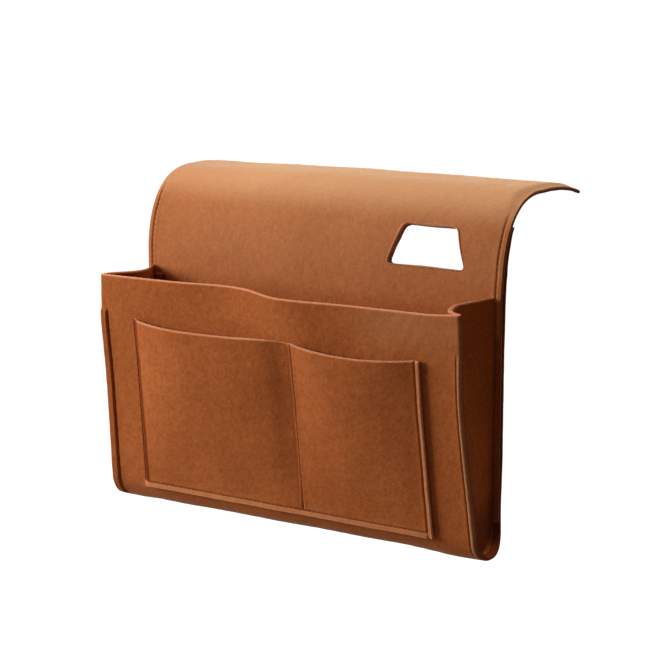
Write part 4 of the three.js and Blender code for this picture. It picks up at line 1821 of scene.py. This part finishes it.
@dataclass
class FrontPocket(Sheet):
    """One felt sheet sewn on the front panel, with a divider seam, so it makes two pockets."""

    section: Section
    front: FrontShape
    finishes: Finishes
    wrap: WrapSheet
    width: float = 0.2815
    middle: float = -0.0013
    foot_spread: float = 0.0022
    rim_height: float = 0.1495
    foot_left_drop: float = 0.0025
    foot_right_drop: float = 0.0035
    rim_right_drop: float = 0.0025
    left_inset: float = 0.0012
    right_inset: float = 0.0042
    foot_inset: float = 0.0040
    groove: Groove = Groove(0.0007, 0.0008, 0.0005, 0.0030, 0.4)
    seam_shares: tuple[float, float, float] = (1.0, 1.0, 0.4)
    foot_share: float = 0.7
    divider: float = 0.020
    left_bulge: float = 0.010
    left_fullness: float = 0.80
    right_bulge: float = 0.009
    left_sag: float = 0.0022
    right_sag: float = 0.0025
    left_lift: float = 0.0020
    seam_flat: float = 0.0012
    flare: float = 0.0016
    # Painted shade: a dark line along the pressed left edge, and beside the divider at the drag fold.
    left_shade: float = 0.95
    left_shade_width: float = 0.0066
    left_shade_fade: float = 0.0020
    lift_inset: float = 0.022
    lift_width: float = 0.020
    lift_fade: float = 0.012
    drag: float = 0.0024
    drag_inset: float = 0.010
    drag_lean: float = 0.008
    drag_width: float = 0.012
    drag_rise: float = 0.05
    drag_fade: float = 0.003
    drag_shade: float = 0.4
    drag_shade_width: float = 0.008
    drag_shade_fade: float = 0.004
    band_blur: float = 0.0008
    seam_blur: float = 0.001
    band_highlight: float = 0.35
    pressed: float = 0.0012
    pressed_width: float = 0.0040
    uneven: Unevenness = Unevenness(0.00028, 0.045, 0.0001, 0.013, 31)
    step: float = 0.0022
    flat_fullness: float = 0.004
    light_sides: ClassVar[bool] = True

    @property
    def edge(self) -> float:
        """Distance of the pocket's side edges from the middle."""
        return self.width / 2

    @property
    def seam_places(self) -> tuple[float, float, float]:
        """Places across of the left seam, the divider and the right seam."""
        return (self.left_inset - self.edge, self.divider, self.edge - self.right_inset)

    def crown(self, x: Array) -> tuple[Array, Array, Array]:
        """Gives the crown of the compartment at x, 4t(1-t), with its bulge and its sag.

        Args:
            x: Place across.

        Returns:
            Crown, bulge and sag.
        """
        left_seam, divider, right_seam = self.seam_places
        left = x < divider
        low = np.where(left, left_seam, divider) + self.seam_flat
        high = np.where(left, divider, right_seam) - self.seam_flat
        t = np.clip((x - low) / (high - low), 0, 1)
        t = np.where(left, t**self.left_fullness, t)
        bulge = np.where(left, self.left_bulge, self.right_bulge)
        return 4 * t * (1 - t), bulge, np.where(left, self.left_sag, self.right_sag)

    def within(self, x: Array) -> Array:
        """Gives 1 between the side seams, where the foot's groove runs."""
        left_seam, _, right_seam = self.seam_places
        blur = self.seam_blur
        return rises(x, left_seam - blur, 2 * blur) * falls(x, right_seam + blur, 2 * blur)

    def above_foot(self, height: Array) -> Array:
        """Gives 1 above the foot seam, where the upright grooves run."""
        return rises(height, self.foot_inset - self.seam_blur, 3 * self.seam_blur)

    def painted_shade(self, x: Array, height: Array) -> Array:
        """Gives the painted shade of the grooves, the pressed left edge and the foot of the drag fold.

        Args:
            x: Place across.
            height: Distance above the pocket's lower edge.

        Returns:
            The shade.
        """
        seams = zip(self.seam_shares, self.seam_places)
        upright = [share * self.groove.painted_shade(x - seam) for share, seam in seams]
        upright.append(self.left_shade * falls(x + self.edge, self.left_shade_width, self.left_shade_fade))
        beside = rises(x, self.divider - self.drag_shade_width, self.drag_shade_fade)
        upright.append(self.drag_shade * beside * (x < self.divider))
        foot = self.foot_share * self.groove.painted_shade(height - self.foot_inset) * self.within(x)
        return np.maximum(np.maximum.reduce(upright) * self.above_foot(height), foot)

    def banded(self, right: Array, foot: Array, x: Array) -> Array:
        """Gives the larger of a value outside the right seam and one below the foot seam."""
        return np.maximum(right, foot * self.within(x))

    def painted_highlight(self, x: Array, height: Array) -> Array:
        """Gives the painted highlight on the lit bands outside the right seam and the foot seam.

        Args:
            x: Place across.
            height: Distance above the pocket's lower edge.

        Returns:
            The share, an S curve outwards from each seam.
        """
        right = rises(x, self.seam_places[2], self.band_blur)
        foot = falls(height, self.foot_inset, self.band_blur)
        return self.band_highlight * self.banded(right, foot, x)

    def flared(self, x: Array, height: Array) -> Array:
        """Gives how those bands rise evenly to their edges."""
        right, foot = (x - self.seam_places[2]) / self.right_inset, 1 - height / self.foot_inset
        return self.flare * self.banded(np.clip(right, 0, 1.3), np.clip(foot, 0, 1.3), x)

    def relief(self, x: Array, height: Array) -> Array:
        """Gives the grooves, the pressed left edge, the drag fold of the left pocket and unevenness.

        The drag fold is a bell across that leans towards the divider at the foot.

        Args:
            x: Place across.
            height: Distance above the pocket's lower edge.

        Returns:
            The height over the plain face.
        """
        upright = sum(self.groove.relief(x - seam) for seam in self.seam_places)
        foot = self.groove.relief(height - self.foot_inset) * self.within(x)
        pressed = self.pressed * falls(x + self.edge, self.pressed_width, self.pressed_width)
        lean = self.drag_lean * (1 - height / self.rim_height)
        drag = self.drag * hump(x, self.divider - self.drag_inset + lean, self.drag_width)
        drag = drag * rises(height, 0.0, self.drag_rise) * falls(x, self.divider, self.drag_fade)
        return upright * self.above_foot(height) + foot - pressed - drag + self.uneven.at(x, height)

    def stand(self, x: Array, height: Array) -> tuple[Array, Array]:
        """Gives how far the inner face stands off the front panel, and the height that it hangs at.

        The stand is the crown times a quarter sine from the foot to the rim. The rim sags by the
        crown, rises a little left of the divider, and the whole sheet lies a little askew.

        Args:
            x: Place across.
            height: Distance above the pocket's lower edge.

        Returns:
            The stand and the height on the front panel.
        """
        crown, bulge, sag = self.crown(x)
        across, up = (x + self.edge) / self.width, height / self.rim_height
        foot = self.foot_left_drop + (self.foot_right_drop - self.foot_left_drop) * across
        drop = foot + (self.rim_right_drop * across - foot) * up
        lift = self.left_lift * hump(x, self.divider - self.lift_inset, self.lift_width)
        lift = lift * falls(x, self.divider, self.lift_fade)
        rising = np.maximum((height - self.foot_inset) / (self.rim_height - self.foot_inset), 0)
        stand = bulge * crown * np.sin(math.pi / 2 * np.minimum(rising, 1.05))
        return self.section.gap + stand, height - drop - (sag * crown - lift) * up**2

    def on_front(self, x: Array, height: Array, raised: Array) -> Array:
        """Gives points over the pocket's inner face, a little wider at the foot and left of the middle.

        Args:
            x: Place across.
            height: Distance above the pocket's lower edge.
            raised: Height over the inner face.

        Returns:
            The points.
        """
        stand, lowered = self.stand(x, height)
        wider = 1 + self.foot_spread / self.edge * (1 - height / self.rim_height)
        return self.front.surface(self.wrap.path, x * wider + self.middle, lowered, stand + raised)

    def surface(self, x: Array, height: Array, share: Array) -> Array:
        """Gives points of the pocket: its inner face, with the felt and its relief towards the outer face."""
        thick = (self.section.felt + self.relief(x, height)) * (1 - share)
        return self.on_front(x, height, self.flared(x, height) + thick)

    def build(self) -> bpy.types.Object:
        """Builds the pocket, which rides on the front.

        Returns:
            The piece.
        """
        across = stations(-self.edge, self.edge, self.step, self.seam_places)
        along = stations(0.0, self.rim_height, self.step, (self.foot_inset,))
        shell = FeltShell(self, across, along, self.section.felt)
        piece = shell.build().to_object("front_pocket_sheet", self.finishes.outer)
        dress(piece, Slot.OUTER, ("front_pocket",), Body.FRONT)
        return piece

    def seams(self) -> None:
        """Builds the four seams of the pocket: the three upright ones and the foot seam."""
        left, _, right = self.seam_places
        height = np.linspace(self.foot_inset + 0.002, self.rim_height - 0.003, 160)
        names = ("left", "divider", "right")
        runs = [(name, np.full(160, x), height) for name, x in zip(names, self.seam_places)]
        runs.append(("foot", np.linspace(left, right, 300), np.full(300, self.foot_inset)))
        for name, x, at in runs:
            outer = self.section.felt + self.groove.floor
            line, above = (self.on_front(x, at, raised) for raised in (outer, outer + THREAD_NORMAL_STEP))
            Seam(f"pocket_{name}", Body.FRONT, line, above).sew(self.finishes.thread)


@dataclass(frozen=True)
class Lamp:
    """A square soft light that looks at the caddy, with its place, its power in watts and its side."""

    name: str
    place: tuple[float, float, float]
    power: float
    size: float = 0.6


@dataclass
class Studio:
    """Camera, floor, backdrop and soft lights."""

    section: Section
    azimuth: float = math.radians(33.0)
    elevation: float = math.radians(11.1)
    distance: float = 1.7603
    lens: float = 115.95
    sensor: float = 36.0
    far_clip: float = 30.0
    aim_x: float = 0.0112
    aim_drop: float = -0.1197
    lit_point: tuple[float, float, float] = (0.0, -0.09, -0.14)
    lamps: tuple[Lamp, ...] = (
        Lamp("key", (-1.31, -0.44, 0.49), 17.0),
        Lamp("fill", (-1.04, -0.96, 0.22), 14.5),
        Lamp("top", (0.30, 0.55, 1.20), 13.0),
    )
    ambient: float = 0.20
    ambient_colour: Colour = (1.0, 0.76, 0.52)
    floor_colour: Colour = (0.30, 0.29, 0.28)
    floor_side: float = 12.0
    floor_z: float = -0.62
    glow: tuple[float, float] = (0.93, 1.0)
    glow_reach: tuple[float, float] = (0.9, 3.0)

    @staticmethod
    def aimed(name: str, data: bpy.types.ID, place: Vector, aim: Vector) -> bpy.types.Object:
        """Places a camera or a lamp and turns it towards a point.

        Args:
            name: Name of the object.
            data: The camera or the light.
            place: Its place.
            aim: The point that it looks at.

        Returns:
            The object.
        """
        made = linked(name, data)
        made.location = place
        made.rotation_euler = (aim - place).to_track_quat("-Z", "Y").to_euler()
        return made

    def camera(self) -> None:
        """Sets the camera on its sphere round the aim point, looking at it."""
        level = math.cos(self.elevation)
        across, back = math.sin(self.azimuth) * level, -math.cos(self.azimuth) * level
        away = Vector((across, back, math.sin(self.elevation)))
        aim = Vector(self.section.point(0.0, self.aim_drop))
        aim.x = self.aim_x
        data = bpy.data.cameras.new("camera")
        data.lens, data.sensor_width, data.clip_end = self.lens, self.sensor, self.far_clip
        bpy.context.scene.camera = self.aimed("camera", data, aim + away * self.distance, aim)

    def light(self, lamp: Lamp) -> None:
        """Adds one lamp, which the camera doesn't see.

        Args:
            lamp: The lamp.
        """
        data = bpy.data.lights.new(lamp.name, "AREA")
        data.shape, data.size, data.energy = "SQUARE", lamp.size, lamp.power
        self.aimed(lamp.name, data, Vector(lamp.place), Vector(self.lit_point)).visible_camera = False

    def world(self) -> None:
        """Sets an even warm light that camera, glossy and transmission rays see as white."""
        world = bpy.data.worlds.new("studio")
        nodes = Nodes.of(world)
        soft = nodes.node("Background", Color=(*self.ambient_colour, 1.0), Strength=self.ambient)
        white = nodes.node("Background", Color=(1.0, 1.0, 1.0, 1.0))
        mix = nodes.node("MixShader", nodes.seen(), soft.outputs[0], white.outputs[0])
        nodes.show(mix.outputs[0], "OutputWorld")
        bpy.context.scene.world = world

    def floor(self) -> None:
        """Lays a pale floor far below, white to the camera, with a soft shadow near the caddy."""
        material = bpy.data.materials.new("pale_floor")
        nodes = Nodes.of(material)
        paper = nodes.node("BsdfDiffuse", Color=(*self.floor_colour, 1.0))
        away = nodes.node("VectorMath", nodes.node("TexCoord").outputs["Object"], operation="LENGTH")
        reach = nodes.ranged(away.outputs["Value"], *self.glow_reach, *self.glow)
        lift = nodes.node("Math", reach, nodes.seen(), operation="MULTIPLY")
        glow = nodes.node("Emission", Color=(1.0, 1.0, 1.0, 1.0))
        nodes.link(lift.outputs[0], glow.inputs["Strength"])
        nodes.show(nodes.node("AddShader", paper.outputs[0], glow.outputs[0]).outputs[0])
        turns = ((-1, -1), (1, -1), (1, 1), (-1, 1))
        corners = [(x * self.floor_side, y * self.floor_side, self.floor_z) for x, y in turns]
        data = bpy.data.meshes.new("floor")
        data.from_pydata(corners, [], [(0, 1, 2, 3)])
        data.materials.append(material)
        linked("floor", data)

    def build(self) -> None:
        """Builds the whole studio."""
        self.camera()
        self.world()
        self.floor()
        for lamp in self.lamps:
            self.light(lamp)
        bpy.context.scene.view_settings.view_transform = "Standard"


def main() -> None:
    """Builds the studio and the caddy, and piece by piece."""
    logging.basicConfig(level=logging.INFO, format="%(name)s: %(message)s")
    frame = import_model()
    log.info("packed model: %d nodes", len(frame["nodes"]))
    section = Section()
    front = FrontShape(section)
    finishes = Finishes()
    Studio(section).build()
    long_sheet = LongSheet(section, finishes)
    wrap = WrapSheet(section, front, finishes, long_sheet)
    long_sheet.build()
    wrap.build()
    pocket = FrontPocket(section, front, finishes, wrap)
    pocket.build()
    pocket.seams()
    for side in Side:
        long_sheet.seam(side)
        wrap.seam(side)
        gusset = Gusset(section, front, finishes, side)
        gusset.build()
        gusset.seam()


if __name__ == "__main__":
    main()
